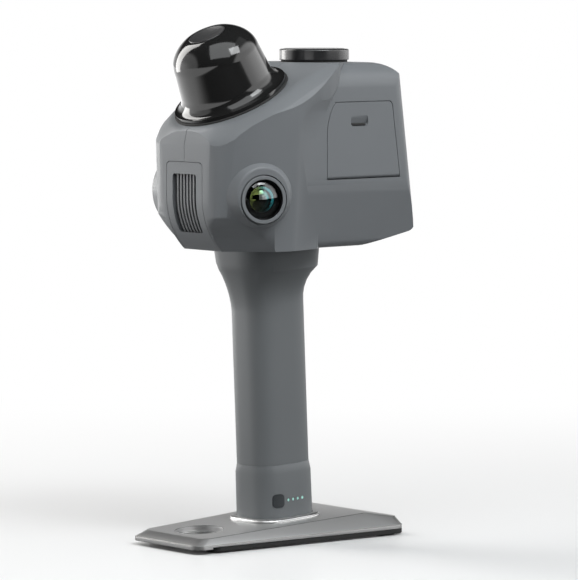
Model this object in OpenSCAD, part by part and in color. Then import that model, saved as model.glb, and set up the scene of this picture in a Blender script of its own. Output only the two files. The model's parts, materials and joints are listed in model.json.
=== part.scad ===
// Handheld room scanner on a weighted base plate.
// Front is -Y, the side with the hinged cover is +X, up is +Z, and the floor is Z = 0.

/* [Base plate] */
// Distance from the grip axis to the plate's front edge
plate_front = 82; // [74:1:90]
// Distance from the grip axis to the plate's rear edge
plate_rear = 62.5; // [56:0.5:72]
// Width of the plate at its front edge
plate_front_w = 60; // [54:1:70]
// Width of the plate at its rear edge
plate_rear_w = 88; // [78:1:100]
// Corner radius of the plate
plate_corner_r = 7; // [4:0.5:9]
// Height of the plate's flat top at the grip axis, above the floor
plate_top_z = 11.5; // [10:0.25:14]
// Pitch of the plate's flat top, rising to the rear
plate_pitch = 2.5; // [1:0.25:3]
// Height of the rubber pad under the plate
pad_h = 2.6; // [2:0.2:3.2]
// Height of the feet under the pad
foot_h = 1; // [0.6:0.1:1.4]
// Diameter of the sighting hole's ledge
ledge_d = 27.5; // [22:0.5:30]
// Diameter of the sighting hole
sight_d = 22; // [16:0.5:24]
// Depth of the ledge
ledge_depth = 3; // [2:0.25:4]

/* [Grip] */
// Width of the grip, side to side
grip_w = 31; // [29:0.5:36]
// Depth of the grip, front to back
grip_depth = 40; // [36:0.5:46]
// Extra width of the foot collar over the grip
collar_extra = 3.4; // [2:0.2:5]
// Height of the foot collar
collar_h = 32; // [30:0.5:36]
// Height of the sloped shoulder at the collar's top
shoulder_h = 5; // [3:0.5:7]
// How far the neck flares out under the head, per side
neck_flare = 8; // [5:0.25:8]
// Radius of the neck's hollow flare
neck_r = 24; // [20:1:28]
// Diameter of a battery cell
cell_d = 18.4; // [16:0.1:19]
// Length of a battery cell
cell_l = 65.2; // [58:0.2:66]
// Width of the power button
button_w = 7.5; // [6.5:0.25:9]
// Height of the power button
button_h = 7.5; // [6:0.25:9]
// Diameter of a charge light
light_d = 1.7; // [1.2:0.1:2.2]
// Distance between charge lights
light_pitch = 3.5; // [2.8:0.1:3.8]

/* [Head] */
// Height of the head's underside above the floor
head_bottom_z = 166.8; // [160:0.4:175]
// Height of the head's flat top above the floor
head_top_z = 271; // [266:0.5:276]
// Distance from the grip axis to the front face
head_front = 66.6; // [64:0.2:70]
// Distance from the grip axis to the rear face, half way up the cover
head_rear = 70; // [67:0.25:74]
// Lean of the rear face
rear_lean = 7.6; // [4:0.2:9]
// Width of the rear box
box_w = 80; // [78:0.5:84]
// Width across the cheeks
cheek_w = 90.6; // [89:0.2:95]
// Radius of the cheeks in plan
cheek_r = 86; // [80:1:95]
// Inward lean of the cheeks towards the bottom
cheek_lean = 4; // [2.5:0.25:5]
// Radius of the head's front corners in plan
face_r = 20; // [16:0.5:22]
// Wall of the head's shells
wall = 2.5; // [2:0.1:3]

/* [Room sensor] */
// Tilt of the sloping deck and of the sensor that stands on it
deck_tilt = 26.6; // [24:0.2:28]
// Diameter of the sensor's flange
flange_d = 65.6; // [60:0.4:68]
// Diameter of the window below its shoulder
window_d = 50.2; // [46:0.2:52]
// Height of the window from the deck to its cap
window_h = 39.2; // [36:0.2:43]
// Diameter of the window's flat cap
crown_d = 24.4; // [20:0.2:28]

/* [Side cameras] */
// Diameter of a camera's front glass
glass_d = 22; // [18:0.2:23]
// Diameter of the raised boss round a camera
boss_d = 33; // [30:0.5:35]
// Height of the boss above the cheek
boss_h = 5; // [3.5:0.25:6]
// Forward yaw of a camera's axis
camera_yaw = 18; // [14:0.5:21]
// Height of a camera's axis above the floor
camera_z = 196.6; // [193:0.2:200]

/* [Front vent] */
// Width of the vent's opening
vent_w = 20.4; // [18:0.2:24]
// Height of the vent's opening
vent_h = 33; // [30:0.5:34]
// Number of upright fins
fin_count = 6; // [4:1:8]
// Thickness of a fin
fin_t = 1.3; // [0.8:0.1:1.6]

/* [Side cover] */
// Height of the cover
cover_h = 43; // [38:0.5:45]
// Thickness of the cover
cover_t = 2.4; // [2:0.1:2.8]
// Gap round the cover
cover_gap = 0.4; // [0.3:0.05:0.6]
// Radius of the cover's hinge barrel
barrel_r = 1.6; // [1.5:0.05:1.8]
// Diameter of the cover's hinge pins
pin_d = 1.6; // [1.2:0.1:1.8]

/* [Top cap] */
// Diameter of the cap on the top socket
cap_d = 40; // [36:0.5:44]
// Height of the cap's rim
cap_h = 6.25; // [5.5:0.25:8]
// Rise of the cap's crowned top
cap_crown = 0.3; // [0.3:0.1:1.5]

/* [Fits] */
// Radial clearance of a shaft or pin in its bore
run_clear = 0.05; // [0.02:0.01:0.1]
// Clearance round pieces that sit in pockets
seat_clear = 0.15; // [0.1:0.05:0.25]
// Width of the seam between the two head shells
seam = 0.3; // [0.2:0.05:0.5]

/* [Hidden] */
$fn = 72;
far = 300;
eps = 0.02;

// Colours
shell_grey = [0.30, 0.31, 0.32];
grip_grey = [0.27, 0.28, 0.29];
metal_grey = [0.72, 0.72, 0.72];
soft_black = [0.05, 0.05, 0.05];
gloss_black = [0.02, 0.02, 0.025];
board_green = [0.05, 0.22, 0.12];
dark_metal = [0.25, 0.25, 0.26];
brass_tone = [0.72, 0.55, 0.25];

// Derived heights and places on the base
pad_top_z = foot_h + pad_h;
rim_edge = 0.4;
plate_edge_z = pad_top_z + rim_edge;
plateau_front_in = 3;
plateau_rear_in = 11.5;
plateau_front_y = -plate_front + 7;
plateau_rear_y = plate_rear - 19;
sight_y = -plate_front + 26;
lip_h = 2;
screw_seat_z = (pad_top_z - plate_top_z) / cos(plate_pitch) + 1.2;
lip_w = 3.4;

// Derived sizes of the grip, in its own frame with Z along the grip
grip_power = 3.2;
ring_steps = 64;
grip_a = grip_w / 2;
grip_b = grip_depth / 2;
collar_a = grip_a + collar_extra / 2;
collar_b = grip_b + collar_extra / 6;
neck_top = (head_bottom_z - plate_top_z) / cos(plate_pitch);
neck_wall_h = 12;
neck_draft = 1.2;
neck_lead = 6;
neck_flare_h = sqrt(neck_r * neck_r - pow(neck_r - neck_flare, 2));
neck_start = neck_top - neck_wall_h - neck_flare_h;
cell_bore_d = cell_d + 4 * seat_clear;
insert_r = 5;
insert_h = 8;
screw_r = 3.1;
screw_head_r = 5.5;
screw_head_h = 3;
leaf_z = 20.6;
leaf_t = 0.6;
button_y = -grip_b * 0.53;
button_z = 11.8;
button_r = 2.2;
button_travel = 0.8;
button_proud = 0.3;
button_cap_t = 3;
foot_wall = 2.4;
board_t = 1.6;
switch_h = 1.6;
nub_gap = 0.1;
lights_y = button_y + button_w / 2 + 3.2;
button_face_r = 20;

// Derived lines of the head, in side view
chin_r = 40;
chin_z = head_bottom_z + 30.2;
chin_slope = 45;
brow_z = head_top_z - 45;
brow_set = 2;
deck_front_y = -head_front + brow_set;
deck_front_z = head_top_z - 35.8;
rear_mid_z = head_top_z - 43;
top_rear_r = 20;
tail_y = head_rear - 31.6;
tail_slope = 11.6;
tail_r = 5;
box_half = box_w / 2;
box_start_y = -10;
box_bend_z = head_bottom_z + 42.2;
box_bend_r = 70;
box_bend_a = 10;
box_top_r = 14;
box_edge_r = 5;
rear_corner_r = 10;
cheek_y = -18;
bezel_half = 15.4;
corner_turn = 44;
corner_x = bezel_half + 1.2;
corner_z = head_bottom_z + 7.2;
corner_k = 0.6;
cheek_z = head_top_z - 19;
cheek_x = cheek_w / 2 - cheek_r;
band_edge_y = 1.8;
ridge_r = 30;
ridge_z = head_top_z - 40;
band_a = 14.5;
band_end_a = 40;
band_end_r = 50;

function deck_z(y) = deck_front_z + (y - deck_front_y) * tan(deck_tilt);
function rear_y(z) = head_rear + (rear_mid_z - z) * tan(rear_lean);
function arc(c, r, a0, a1, n) =
    [for (i = [0 : n]) c + r * [cos(a0 + (a1 - a0) * i / n), sin(a0 + (a1 - a0) * i / n)]];

// Places of the room sensor: its own frame has Z along the tilted axis and Z = 0 on the deck
sensor_y = -32;
sensor_pos = [0, sensor_y, deck_z(sensor_y)];
flange_r = flange_d / 2;
window_r = window_d / 2;
crown_r = crown_d / 2;
window_t = 1.6;
crown_rim = 1.4;
base_r = flange_r - 3;
base_depth = 20;
base_floor = 4;
base_wall = 3;
spindle_r = 3;
spindle_boss_r = 6;
rotor_r = 15;
rotor_gap = 0.6;
gasket_t = 1;
deck_flat = flange_r + 1.8;
deck_out = cheek_w / 2 + 0.5;
deck_soft = 10;
gasket_w = 2.6;

// Places of the side cameras: each has its own frame with Z along its axis and Z = 0 on the cheek
camera_y = -43;
camera_x = cheek_x + (camera_z - cheek_z) * tan(cheek_lean)
    + sqrt(pow(cheek_r, 2) - pow(camera_y - cheek_y, 2));
glass_r = glass_d / 2;
boss_r = boss_d / 2;
boss_up = 2.5;
boss_root = 9;
boss_rim_r = 2.2;
barrel_out_r = glass_r + 1;
barrel_len = 20;
barrel_flange = 0.8;
lens_bezel_r = barrel_out_r + 1.8;
lens_bezel_h = 2.4;
glass_t = 2.5;
glass_seat = 1;
camera_board_w = 25;

// Places of the front vent
vent_top_z = head_top_z - 61;
bezel_top_z = vent_top_z + 6.6;
bezel_t = 2;
backing_t = 5.5;
bezel_gap = 0.3;
bezel_end = 13;
bezel_corner_r = 3;
vent_depth = 10;
vent_r = 1.6;
camera_room = 15.3;
fan_w = cheek_w / 2 - camera_room;
fan_t = 8;
fan_hub_r = 6;
fan_shaft_r = 1.5;
fan_blade_t = 1.2;
fan_blades = 7;
fan_y = -head_front + vent_depth;
fan_z = head_bottom_z + 28.2;

// Places of the side cover
hinge_z = head_top_z - 65 + barrel_r;
hinge_x = box_half - barrel_r;
cover_front_y = band_edge_y + 3;
cover_top_z = hinge_z - barrel_r + cover_h;
cover_rear_in = 13;
cover_corner_r = 3;
pin_l = 6;
pin_in = 3;
rebate = 3;
bay_depth = 14;
bay_wall = 1.2;
notch_w = 13;
notch_h = 6.3;
notch_depth = 1.6;
notch_r = 2.2;
notch_drop = 7.4;
notch_y = 29;

// Places of the display on the rear face
display_w = 52;
display_h = 62;
display_frame = 2.2;
display_t = 1.6;
panel_t = 2.6;
display_z = head_top_z - 51;

// Places inside the head
plate_t = 2.5;
neck_post_h = 6;
neck_post_r = 3;
deck_plate_z = head_bottom_z + wall;
main_board_z = deck_plate_z + plate_t + neck_post_h;
main_board_w = 52;
main_board_l = 84;
sink_h = 11;
sink_fin_t = 1.2;
sink_pitch = 4;
screw_x = 12;
screw_y = 18;
bolt_r = 1.5;

// Places of the top socket
socket_y = 30;
socket_r = cap_d / 2 - 4;
socket_up = 5;
socket_flange = 3;
socket_depth = 9;
seal_h = 1.2;
cap_bottom_z = head_top_z + seal_h;
cap_wall_clear = run_clear + 0.03;
cap_edge = 0.6;

// Shared shapes

function signed_pow(v, p) = sign(v) * pow(abs(v), p);
function ring(a, b, z) = [for (i = [0 : ring_steps - 1]) let (t = 360 * i / ring_steps)
    [a * signed_pow(cos(t), 2 / grip_power), b * signed_pow(sin(t), 2 / grip_power), z]];

// Solid through a stack of rings with equal numbers of points
module loft(rings) {
    n = len(rings[0]);
    points = [for (r = rings) each r];
    top = (len(rings) - 1) * n;
    sides = [for (k = [0 : len(rings) - 2]) for (i = [0 : n - 1]) let (j = (i + 1) % n, a = k * n, b = a + n)
        each [[a + i, b + i, b + j], [a + i, b + j, a + j]]];
    polyhedron(points, concat([[for (i = [0 : n - 1]) i]], sides, [[for (i = [n - 1 : -1 : 0]) top + i]]),
        convexity = 6);
}

module rounded_square(w, h, r) {
    square([w - 2 * r, h], center = true);
    square([w, h - 2 * r], center = true);
    for (x = [-1, 1]) for (y = [-1, 1])
        translate([x * (w / 2 - r), y * (h / 2 - r)]) circle(r);
}

module rounded_bar(w, h, r, t) linear_extrude(t) rounded_square(w, h, r);

module tube(r_out, r_in, h) difference() {
    cylinder(r = r_out, h = h);
    translate([0, 0, -eps]) cylinder(r = r_in, h = h + 2 * eps);
}

// Outline in the YZ plane, carried along X from x0 to x1
module along_x(x0, x1) translate([x0, 0, 0]) rotate([90, 0, 90]) linear_extrude(x1 - x0) children();

// Outline in the XZ plane, carried along Y from y0 to y1
module along_y(y0, y1) translate([0, y1, 0]) rotate([90, 0, 0]) linear_extrude(y1 - y0) children();

// The origin lies on the floor, under the middle of the whole object
function tail_centre() =
    let (n1 = [cos(rear_lean), sin(rear_lean)], n2 = [sin(tail_slope), -cos(tail_slope)])
    tail_corner() - tail_r * (n1 + n2) / (1 + n1 * n2);
frame_y = (plate_front - tail_centre()[0] - tail_r * cos(rear_lean)) / 2;

module in_frame() translate([0, frame_y, 0]) children();
module in_grip() translate([0, 0, plate_top_z]) rotate([plate_pitch, 0, 0]) children();
module in_sensor() translate(sensor_pos) rotate([deck_tilt, 0, 0]) children();
module in_camera() translate([camera_x, camera_y, camera_z]) rotate([0, 90, -camera_yaw]) children();
module in_rear() translate([0, rear_y(display_z), display_z]) rotate([rear_lean, 0, 0]) rotate([90, 0, 180]) children();
module on_left() mirror([1, 0, 0]) children();

// Base

module corner_pair(z, h, r, y, half) for (x = [-1, 1])
    translate([x * (half - r), y, z]) cylinder(r = r, h = h, $fn = 32);

module plate_corners(z, h, r, front_y, rear_y, front_half, rear_half) {
    corner_pair(z, h, r, front_y + r, front_half);
    corner_pair(z, h, r, rear_y - r, rear_half);
}

// The front face ends below the bevel, and the rear end has an upright wall under a shoulder
module plate_blank() hull() {
    plate_corners(pad_top_z - 1, plate_edge_z - pad_top_z + 1, plate_corner_r,
        -plate_front, plate_rear, plate_front_w / 2, plate_rear_w / 2);
    corner_pair(pad_top_z, rim_edge + 0.9, plate_corner_r, -plate_front + plate_corner_r, plate_front_w / 2);
    corner_pair(pad_top_z, rim_edge + 2, plate_corner_r, plate_rear - plate_corner_r, plate_rear_w / 2);
    corner_pair(plate_top_z - 1.5, eps, plate_corner_r, plate_rear - plate_corner_r - 0.5, plate_rear_w / 2 - 5.5);
    translate([0, 0, plate_top_z]) rotate([plate_pitch, 0, 0]) plate_corners(-eps, eps, plate_corner_r - 1,
        plateau_front_y, plateau_rear_y, plate_front_w / 2 - plateau_front_in, plate_rear_w / 2 - plateau_rear_in);
}

pad_front_y = -plate_front + 11;
pad_front_w = plate_front_w + (pad_front_y + plate_front) * (plate_rear_w - plate_front_w) / (plate_front + plate_rear);
pad_gap = 0.2;

module lip_blank() loft([
    ring(collar_a + lip_w, collar_b + lip_w, -1),
    ring(collar_a + lip_w, collar_b + lip_w, lip_h * 0.4),
    ring(collar_a + lip_w * 0.8, collar_b + lip_w * 0.8, lip_h * 0.8),
    ring(collar_a + lip_w * 0.5, collar_b + lip_w * 0.5, lip_h),
    ring(collar_a + lip_w * 0.1, collar_b + lip_w * 0.1, lip_h)
]);

module base_plate() color(metal_grey) difference() {
    union() {
        plate_blank();
        in_grip() lip_blank();
    }
    in_grip() loft([ring(collar_a + seat_clear, collar_b + seat_clear, 0), ring(collar_a + seat_clear, collar_b + seat_clear, 10)]);
    translate([-far / 2, pad_front_y - pad_gap, -eps]) cube([far, far, pad_top_z + eps]);
    translate([0, sight_y, -eps]) cylinder(d = sight_d, h = far);
    translate([0, sight_y, plate_top_z + sight_y * tan(plate_pitch) - ledge_depth]) cylinder(d = ledge_d, h = far);
    in_grip() translate([0, 0, -far / 2]) cylinder(r = screw_r + run_clear, h = far);
    in_grip() translate([0, 0, screw_seat_z - far]) cylinder(r = screw_head_r + seat_clear, h = far);
}

module base_pad() color(soft_black) difference() {
    hull() plate_corners(foot_h, pad_h, plate_corner_r, pad_front_y, plate_rear, pad_front_w / 2 - 0.1, plate_rear_w / 2);
    translate([0, sight_y, -eps]) cylinder(d = sight_d + 4, h = far);
    in_grip() translate([0, 0, -far / 2]) cylinder(r = screw_head_r + seat_clear, h = far);
}

module rubber_feet() color(soft_black) for (x = [-1, 1]) for (end = [0, 1]) {
    foot_x = (end == 0 ? plate_front_w : plate_rear_w) / 2 - 8;
    foot_y = end == 0 ? -plate_front + 21 : plate_rear - 11;
    translate([x * foot_x, foot_y, 0]) rounded_bar(9, 14, 4.4, foot_h);
}

module base_screw() color(dark_metal) in_grip() {
    difference() {
        translate([0, 0, screw_seat_z - screw_head_h]) cylinder(r = screw_head_r, h = screw_head_h);
        translate([0, 0, screw_seat_z - screw_head_h - 1]) cylinder(r = 2.4, h = 2.8, $fn = 6);
    }
    translate([0, 0, screw_seat_z - 1]) cylinder(r = screw_r, h = insert_h - screw_seat_z);
}

// Grip

module grip_foot() color(grip_grey) in_grip() difference() {
    loft([
        ring(collar_a, collar_b, 0),
        ring(collar_a - 0.2, collar_b - 0.2, collar_h - shoulder_h),
        ring(grip_a, grip_b, collar_h)
    ]);
    translate([0, 0, -eps]) cylinder(r = insert_r, h = insert_h + eps);
    translate([0, 0, leaf_z - leaf_t]) cylinder(d = cell_bore_d, h = collar_h);
    foot_pocket();
    at_button() translate([0, 0, -button_cap_t - 2])
        rounded_bar(button_h + 2 * seat_clear, button_w + 2 * seat_clear, button_r + seat_clear, far);
    for (i = [0 : 3]) translate([0, lights_y + i * light_pitch, button_z]) rotate([0, 90, 0])
        cylinder(d = light_d + 2 * run_clear, h = far);
}

// Room for the charge board behind the button
pocket_x = insert_r + 1.5;
board_x = pocket_x;
switch_x = board_x + board_t;
pocket_out_x = collar_a - 2 * foot_wall;
pocket_y0 = button_y - button_w / 2 - 0.3;
pocket_y1 = lights_y + 3 * light_pitch + 2;
pocket_z0 = button_z - button_h / 2 - 2;
pocket_z1 = button_z + button_h / 2 + 2;

// Side face of the collar, and the button's own frame with Z along its push axis
function collar_x(y) = (collar_a - 0.1) * pow(1 - pow(abs(y) / (collar_b - 0.1), grip_power), 1 / grip_power);
button_x = collar_x(button_y);
button_yaw = atan((collar_x(button_y + button_w / 2) - collar_x(button_y - button_w / 2)) / button_w);
nub_x = button_x - button_cap_t - button_travel - nub_gap + button_proud;

module at_button() translate([button_x, button_y, button_z]) rotate([0, 0, -button_yaw]) rotate([0, 90, 0]) children();

module foot_pocket() translate([pocket_x, pocket_y0, pocket_z0])
    cube([pocket_out_x - pocket_x, pocket_y1 - pocket_y0, pocket_z1 - pocket_z0]);

module foot_insert() color(brass_tone) in_grip() tube(insert_r, screw_r + run_clear, insert_h);

module charge_board() color(board_green) in_grip() translate([board_x, pocket_y0 + seat_clear, pocket_z0 + seat_clear])
    cube([board_t, pocket_y1 - pocket_y0 - 2 * seat_clear, pocket_z1 - pocket_z0 - 2 * seat_clear]);

module button_switch() color(dark_metal) in_grip()
    translate([switch_x, button_y + (button_x - nub_x) * tan(button_yaw), button_z]) {
        translate([0, -2.2, -2.2]) cube([switch_h, 4.4, 4.4]);
        rotate([0, 90, 0]) cylinder(r = 1, h = nub_x - 0.3 - switch_x);
    }

// The button's face is a shallow arc that carries on the collar's curve
module power_button() color(soft_black) in_grip() at_button() intersection() {
    translate([0, 0, button_proud - button_cap_t]) rounded_bar(button_h, button_w, button_r, button_cap_t);
    translate([0, 0, button_proud - button_face_r]) rotate([0, 90, 0])
        cylinder(r = button_face_r, h = 2 * button_h, center = true, $fn = 120);
}

module charge_lights() color([0.6, 0.95, 0.85]) in_grip() for (i = [0 : 3])
    translate([switch_x, lights_y + i * light_pitch, button_z]) rotate([0, 90, 0])
        cylinder(d = light_d, h = collar_a - 0.45 - switch_x);

// Neck: hollow flare at the sides and the rear, a straighter one at the front
function flare_side(h) = h <= 0 ? 0 : neck_r - sqrt(neck_r * neck_r - pow(min(h, neck_flare_h), 2));
function flare_front(h) = 0.8 * neck_flare * pow(min(max(h + neck_lead, 0) / (neck_flare_h + neck_lead + 3), 1), 1.5);
function neck_ring(h) = [for (i = [0 : ring_steps - 1])
    let (t = 360 * i / ring_steps, front = max(0, -sin(t)),
        draft = neck_draft * max(0, h - neck_flare_h) / neck_wall_h,
        out = flare_side(h) * (1 - front) + flare_front(h) * front)
    [(grip_a + out * 0.86 + draft) * signed_pow(cos(t), 2 / grip_power),
        (grip_b + out * 1.06 + draft) * signed_pow(sin(t), 2 / grip_power), neck_start + h]];

module grip_shell() color(grip_grey) difference() {
    in_grip() difference() {
        loft(concat(
            [ring(grip_a, grip_b, collar_h)],
            [for (i = [0 : 6]) neck_ring((neck_flare_h + neck_lead) * i / 6 - neck_lead)],
            [neck_ring(neck_flare_h + neck_wall_h / 3), neck_ring(neck_flare_h + neck_wall_h + 2)]));
        translate([0, 0, collar_h - 1]) cylinder(d = cell_bore_d, h = far);
    }
    translate([-far / 2, -far / 2, head_bottom_z]) cube(far);
    neck_holes(bolt_r - 0.2, head_bottom_z - 8);
}

module contact_leaf() color(brass_tone) in_grip() translate([0, 0, leaf_z - leaf_t])
    difference() {
        cylinder(d = cell_d - 1, h = leaf_t);
        translate([-2, 2, -eps]) cube([4, 3, 1]);
    }

module cell(z) color([0.15, 0.32, 0.55]) in_grip() translate([0, 0, z]) {
    cylinder(d = cell_d, h = cell_l - 1.2);
    cylinder(d = cell_d * 0.34, h = cell_l);
}

module cell_lower() cell(leaf_z);
module cell_upper() cell(leaf_z + cell_l);

module contact_block() color(soft_black) difference() {
    in_grip() translate([0, 0, leaf_z + 2 * cell_l]) cylinder(d = cell_bore_d - 2 * seat_clear, h = far);
    translate([-far / 2, -far / 2, head_bottom_z]) cube(far);
}

// Head outlines

// Side outline of the head, brought in by d
function tail_corner() =
    let (tl = tan(rear_lean), tc = tan(tail_slope), ry0 = head_rear + rear_mid_z * tl,
        y = (ry0 - (head_bottom_z - tail_y * tc) * tl) / (1 + tl * tc))
    [y, head_bottom_z + (y - tail_y) * tc];

function side_outline(d) =
    let (
        chin_c = [-head_front + chin_r, chin_z],
        chin = arc(chin_c, chin_r - d, 180, 270 - chin_slope, 10),
        chin_end = chin[len(chin) - 1],
        brow_y = deck_front_y + d,
        drop = d / cos(deck_tilt),
        top_c_z = head_top_z - top_rear_r,
        top_c = [rear_y(top_c_z) - top_rear_r / cos(rear_lean), top_c_z],
        tail_c = tail_centre())
    concat(
        [[-head_front + d, brow_z], [brow_y, deck_z(brow_y) - drop],
            [deck_front_y + (head_top_z - d + drop - deck_front_z) / tan(deck_tilt), head_top_z - d]],
        arc(top_c, top_rear_r - d, 90, rear_lean, 10),
        arc(tail_c, tail_r - d, rear_lean, tail_slope - 90, 5),
        [[tail_y - (d / cos(tail_slope) - d) / tan(tail_slope), head_bottom_z + d],
            [chin_end[0] + (chin_end[1] - head_bottom_z - d) / tan(chin_slope), head_bottom_z + d]],
        [for (i = [len(chin) - 1 : -1 : 0]) chin[i]]);

module side_body(d) along_x(-far / 2, far / 2) polygon(side_outline(d));

// Cross outline of the rear box, brought in by d
function box_half_outline(d) =
    let (low = arc([box_half - box_bend_r, box_bend_z], box_bend_r - d, 0, -box_bend_a, 4),
        low_end = low[len(low) - 1],
        low_x = low_end[0] - (low_end[1] - head_bottom_z - d) * tan(box_bend_a),
        edge_r = max(box_edge_r - d, 1),
        edge_c = [low_x - edge_r, head_bottom_z + d + edge_r])
    concat(
        arc([box_half - box_top_r, head_top_z - box_top_r], box_top_r - d, 90, 0, 8),
        low,
        arc(edge_c, edge_r, -box_bend_a, -90, 4));

function mirrored(points) = concat(points, [for (i = [len(points) - 1 : -1 : 0]) [-points[i][0], points[i][1]]]);

module rear_box(d) intersection() {
    along_y(box_start_y, far / 2) polygon(mirrored(box_half_outline(d)));
    translate([0, head_rear, rear_mid_z]) rotate([rear_lean, 0, 0]) translate([0, 0, -far / 2]) linear_extrude(far)
        rear_plan(d);
}

module rear_plan(d) polygon(mirrored(concat(
    [[0, -d]], arc([box_half - rear_corner_r, -rear_corner_r], rear_corner_r - d, 90, 0, 8), [[box_half - d, -far / 2]])));

// One cheek: a tall leaning drum with a rounded front corner, cut by the band behind its ridge
face_x = cheek_x + sqrt(pow(cheek_r - face_r, 2) - pow(face_r - head_front - cheek_y, 2));
face_low = cheek_z - head_bottom_z;
face_low_r = (cheek_r + head_front + cheek_y
    - pow(face_x - cheek_x + face_low * tan(cheek_lean), 2) / (cheek_r - head_front - cheek_y)) / 2;
face_a = atan((face_r - face_low_r) / face_low);
face_turn = atan2(face_r - head_front - cheek_y, face_x - cheek_x) - 14;

module cheek(d) difference() {
    intersection() {
        translate([0, 0, cheek_z]) rotate([0, cheek_lean, 0]) {
            intersection() {
                translate([cheek_x, cheek_y, 0]) cylinder(r = cheek_r - d, h = far, center = true, $fn = 240);
                translate([0, 0, -cheek_z]) band_keep(d);
            }
        }
        translate([-bezel_half, d - head_front, 0]) cube(2 * far);
    }
    corner_round(d);
    corner_cut(d);
}

// What the rounded front corner takes off: its radius shrinks downwards, so that its front line is upright
function corner_ring(z, d) =
    let (r = face_r + (z - cheek_z) * tan(face_a), c = [face_x, r - head_front],
        bend = arc(c, r - d, face_turn, -90, 10))
    [for (p = concat([[face_x, -head_front - 60], [face_x + 90, -head_front - 60],
        bend[0] + 60 * [-sin(face_turn), cos(face_turn)]], bend)) [p[0], p[1], z]];

module corner_round(d) loft([corner_ring(head_bottom_z - 10, d), corner_ring(head_top_z + 10, d)]);

// Chin line swept back along the head's lower front corner, and drawn away from it above corner_z
function chin_y(z, d) = -head_front + chin_r - sqrt(pow(chin_r - d, 2) - pow(max(0, chin_z - z), 2));

module corner_cut(d) {
    low_z = head_bottom_z - 1;
    top_z = corner_z + 26;
    line = [for (i = [0 : 12]) let (z = low_z + (top_z - low_z) * i / 12)
        [(chin_y(z, d) - corner_k * max(0, z - corner_z)) * cos(corner_turn), z]];
    translate([corner_x, 0, 0]) rotate([0, 0, corner_turn]) along_x(-far, far)
        polygon(concat(line, [[-far, top_z], [-far, low_z]]));
}

// What the band leaves of a cheek: a prism along the band's own slant, ended by a steeper face
module band_keep(d) intersection() {
    slant_keep(band_a, box_half * cos(band_a) + band_edge_y * sin(band_a) - d, ridge_r);
    slant_keep(band_end_a, box_half * cos(band_end_a) + (band_edge_y + 0.4) * sin(band_end_a) - d, band_end_r);
}

// Prism that keeps what lies inside u, and curves back above the ridge's height with radius r
module slant_keep(a, u, r) {
    curve = [for (i = [0 : 8]) let (z = ridge_r * i / 8) [u + (r - sqrt(r * r - z * z)) * sin(a), ridge_z + z]];
    top = curve[len(curve) - 1];
    rotate([0, 0, a]) along_y(-far, far)
        polygon(concat([[-far, 0], [u, 0]], curve, [[top[0], 2 * far], [-far, 2 * far]]));
}

// Soft edge round the deck: what lies outside a rounded form that runs round the sensor and out to the rear
function deck_ring(r, z) = concat([for (i = [0 : 20]) let (a = 180 + 9 * i) [r * cos(a), r * sin(a) + z * tan(deck_tilt), z]],
    [[r, far / 2, z], [-r, far / 2, z]]);

module deck_trim(d) in_sensor() difference() {
    translate([-far, -far, -deck_soft - d]) cube([2 * far, 2 * far, far]);
    loft([for (p = [[deck_out + 1, -deck_soft - 4], [deck_out - 0.5, -deck_soft + 2], [deck_out - 2.5, -deck_soft + 5],
        [deck_flat + 3.6, -1.5], [deck_flat - 1.4, 0.6]]) deck_ring(p[0] - d, p[1] - d)]);
}

module head_body(d) difference() {
    intersection() {
        side_body(d);
        union() {
            rear_box(d);
            cheek(d);
            on_left() cheek(d);
        }
    }
    deck_trim(d);
}

module camera_boss() in_camera() translate([-boss_up, 0, 0]) rotate_extrude() polygon(concat(
    [[0, -boss_root], [boss_r + 5, -boss_root], [boss_r + 3.2, -2], [boss_r + 0.9, boss_h - boss_rim_r - 0.9]],
    arc([boss_r - boss_rim_r, boss_h - boss_rim_r], boss_rim_r, 15, 90, 6),
    [[0, boss_h]]));

module camera_bores() in_camera() {
    translate([0, 0, -boss_root - 6]) cylinder(r = barrel_out_r + seat_clear, h = far);
    translate([0, 0, boss_h - glass_t - barrel_flange]) cylinder(r = lens_bezel_r + seat_clear, h = far);
}

// Outlines of the side cover in side view, grown by g
function cover_outline(g) =
    let (front = [for (i = [0 : 6]) let (z = ridge_z + (cover_top_z + g - ridge_z) * i / 6)
            [cover_front_y - g + ridge_r - sqrt(ridge_r * ridge_r - pow(z - ridge_z, 2)), z]],
        rear_z = cover_top_z + g,
        rear_top = [rear_y(rear_z) - cover_rear_in + g, rear_z],
        corner_c = rear_top - [cover_corner_r, cover_corner_r])
    concat([[cover_front_y - g, hinge_z]], front, arc(corner_c, cover_corner_r, 90, 0, 4),
        [[rear_y(hinge_z) - cover_rear_in + g, hinge_z]]);

cover_rear_y = rear_y(hinge_z) - cover_rear_in;

module cover_barrel(r, g) translate([hinge_x, cover_front_y - g, hinge_z]) rotate([-90, 0, 0])
    cylinder(r = r, h = cover_rear_y - cover_front_y + 2 * g);

module cover_recess() {
    along_x(box_half - cover_t - seat_clear, far) polygon(cover_outline(cover_gap));
    cover_barrel(barrel_r + cover_gap, cover_gap);
    translate([hinge_x, cover_front_y - cover_gap, hinge_z - barrel_r - cover_gap])
        cube([far, cover_rear_y - cover_front_y + 2 * cover_gap, barrel_r + cover_gap]);
}

// Bay behind the cover
bay_y0 = cover_front_y + rebate + 6;
bay_y1 = rear_y(cover_top_z) - cover_rear_in - rebate;
bay_z0 = hinge_z + rebate + 1;
bay_z1 = cover_top_z - rebate;
bay_x1 = box_half - cover_t - seat_clear;
bay_x0 = bay_x1 - bay_depth;

module bay_box(g) translate([bay_x0 - g, bay_y0 - g, bay_z0 - g])
    cube([far, bay_y1 - bay_y0 + 2 * g, bay_z1 - bay_z0 + 2 * g]);

module bay_block(g) intersection() {
    bay_box(g);
    translate([0, -far / 2, 0]) cube([bay_x1, far, far + head_top_z]);
}

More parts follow.
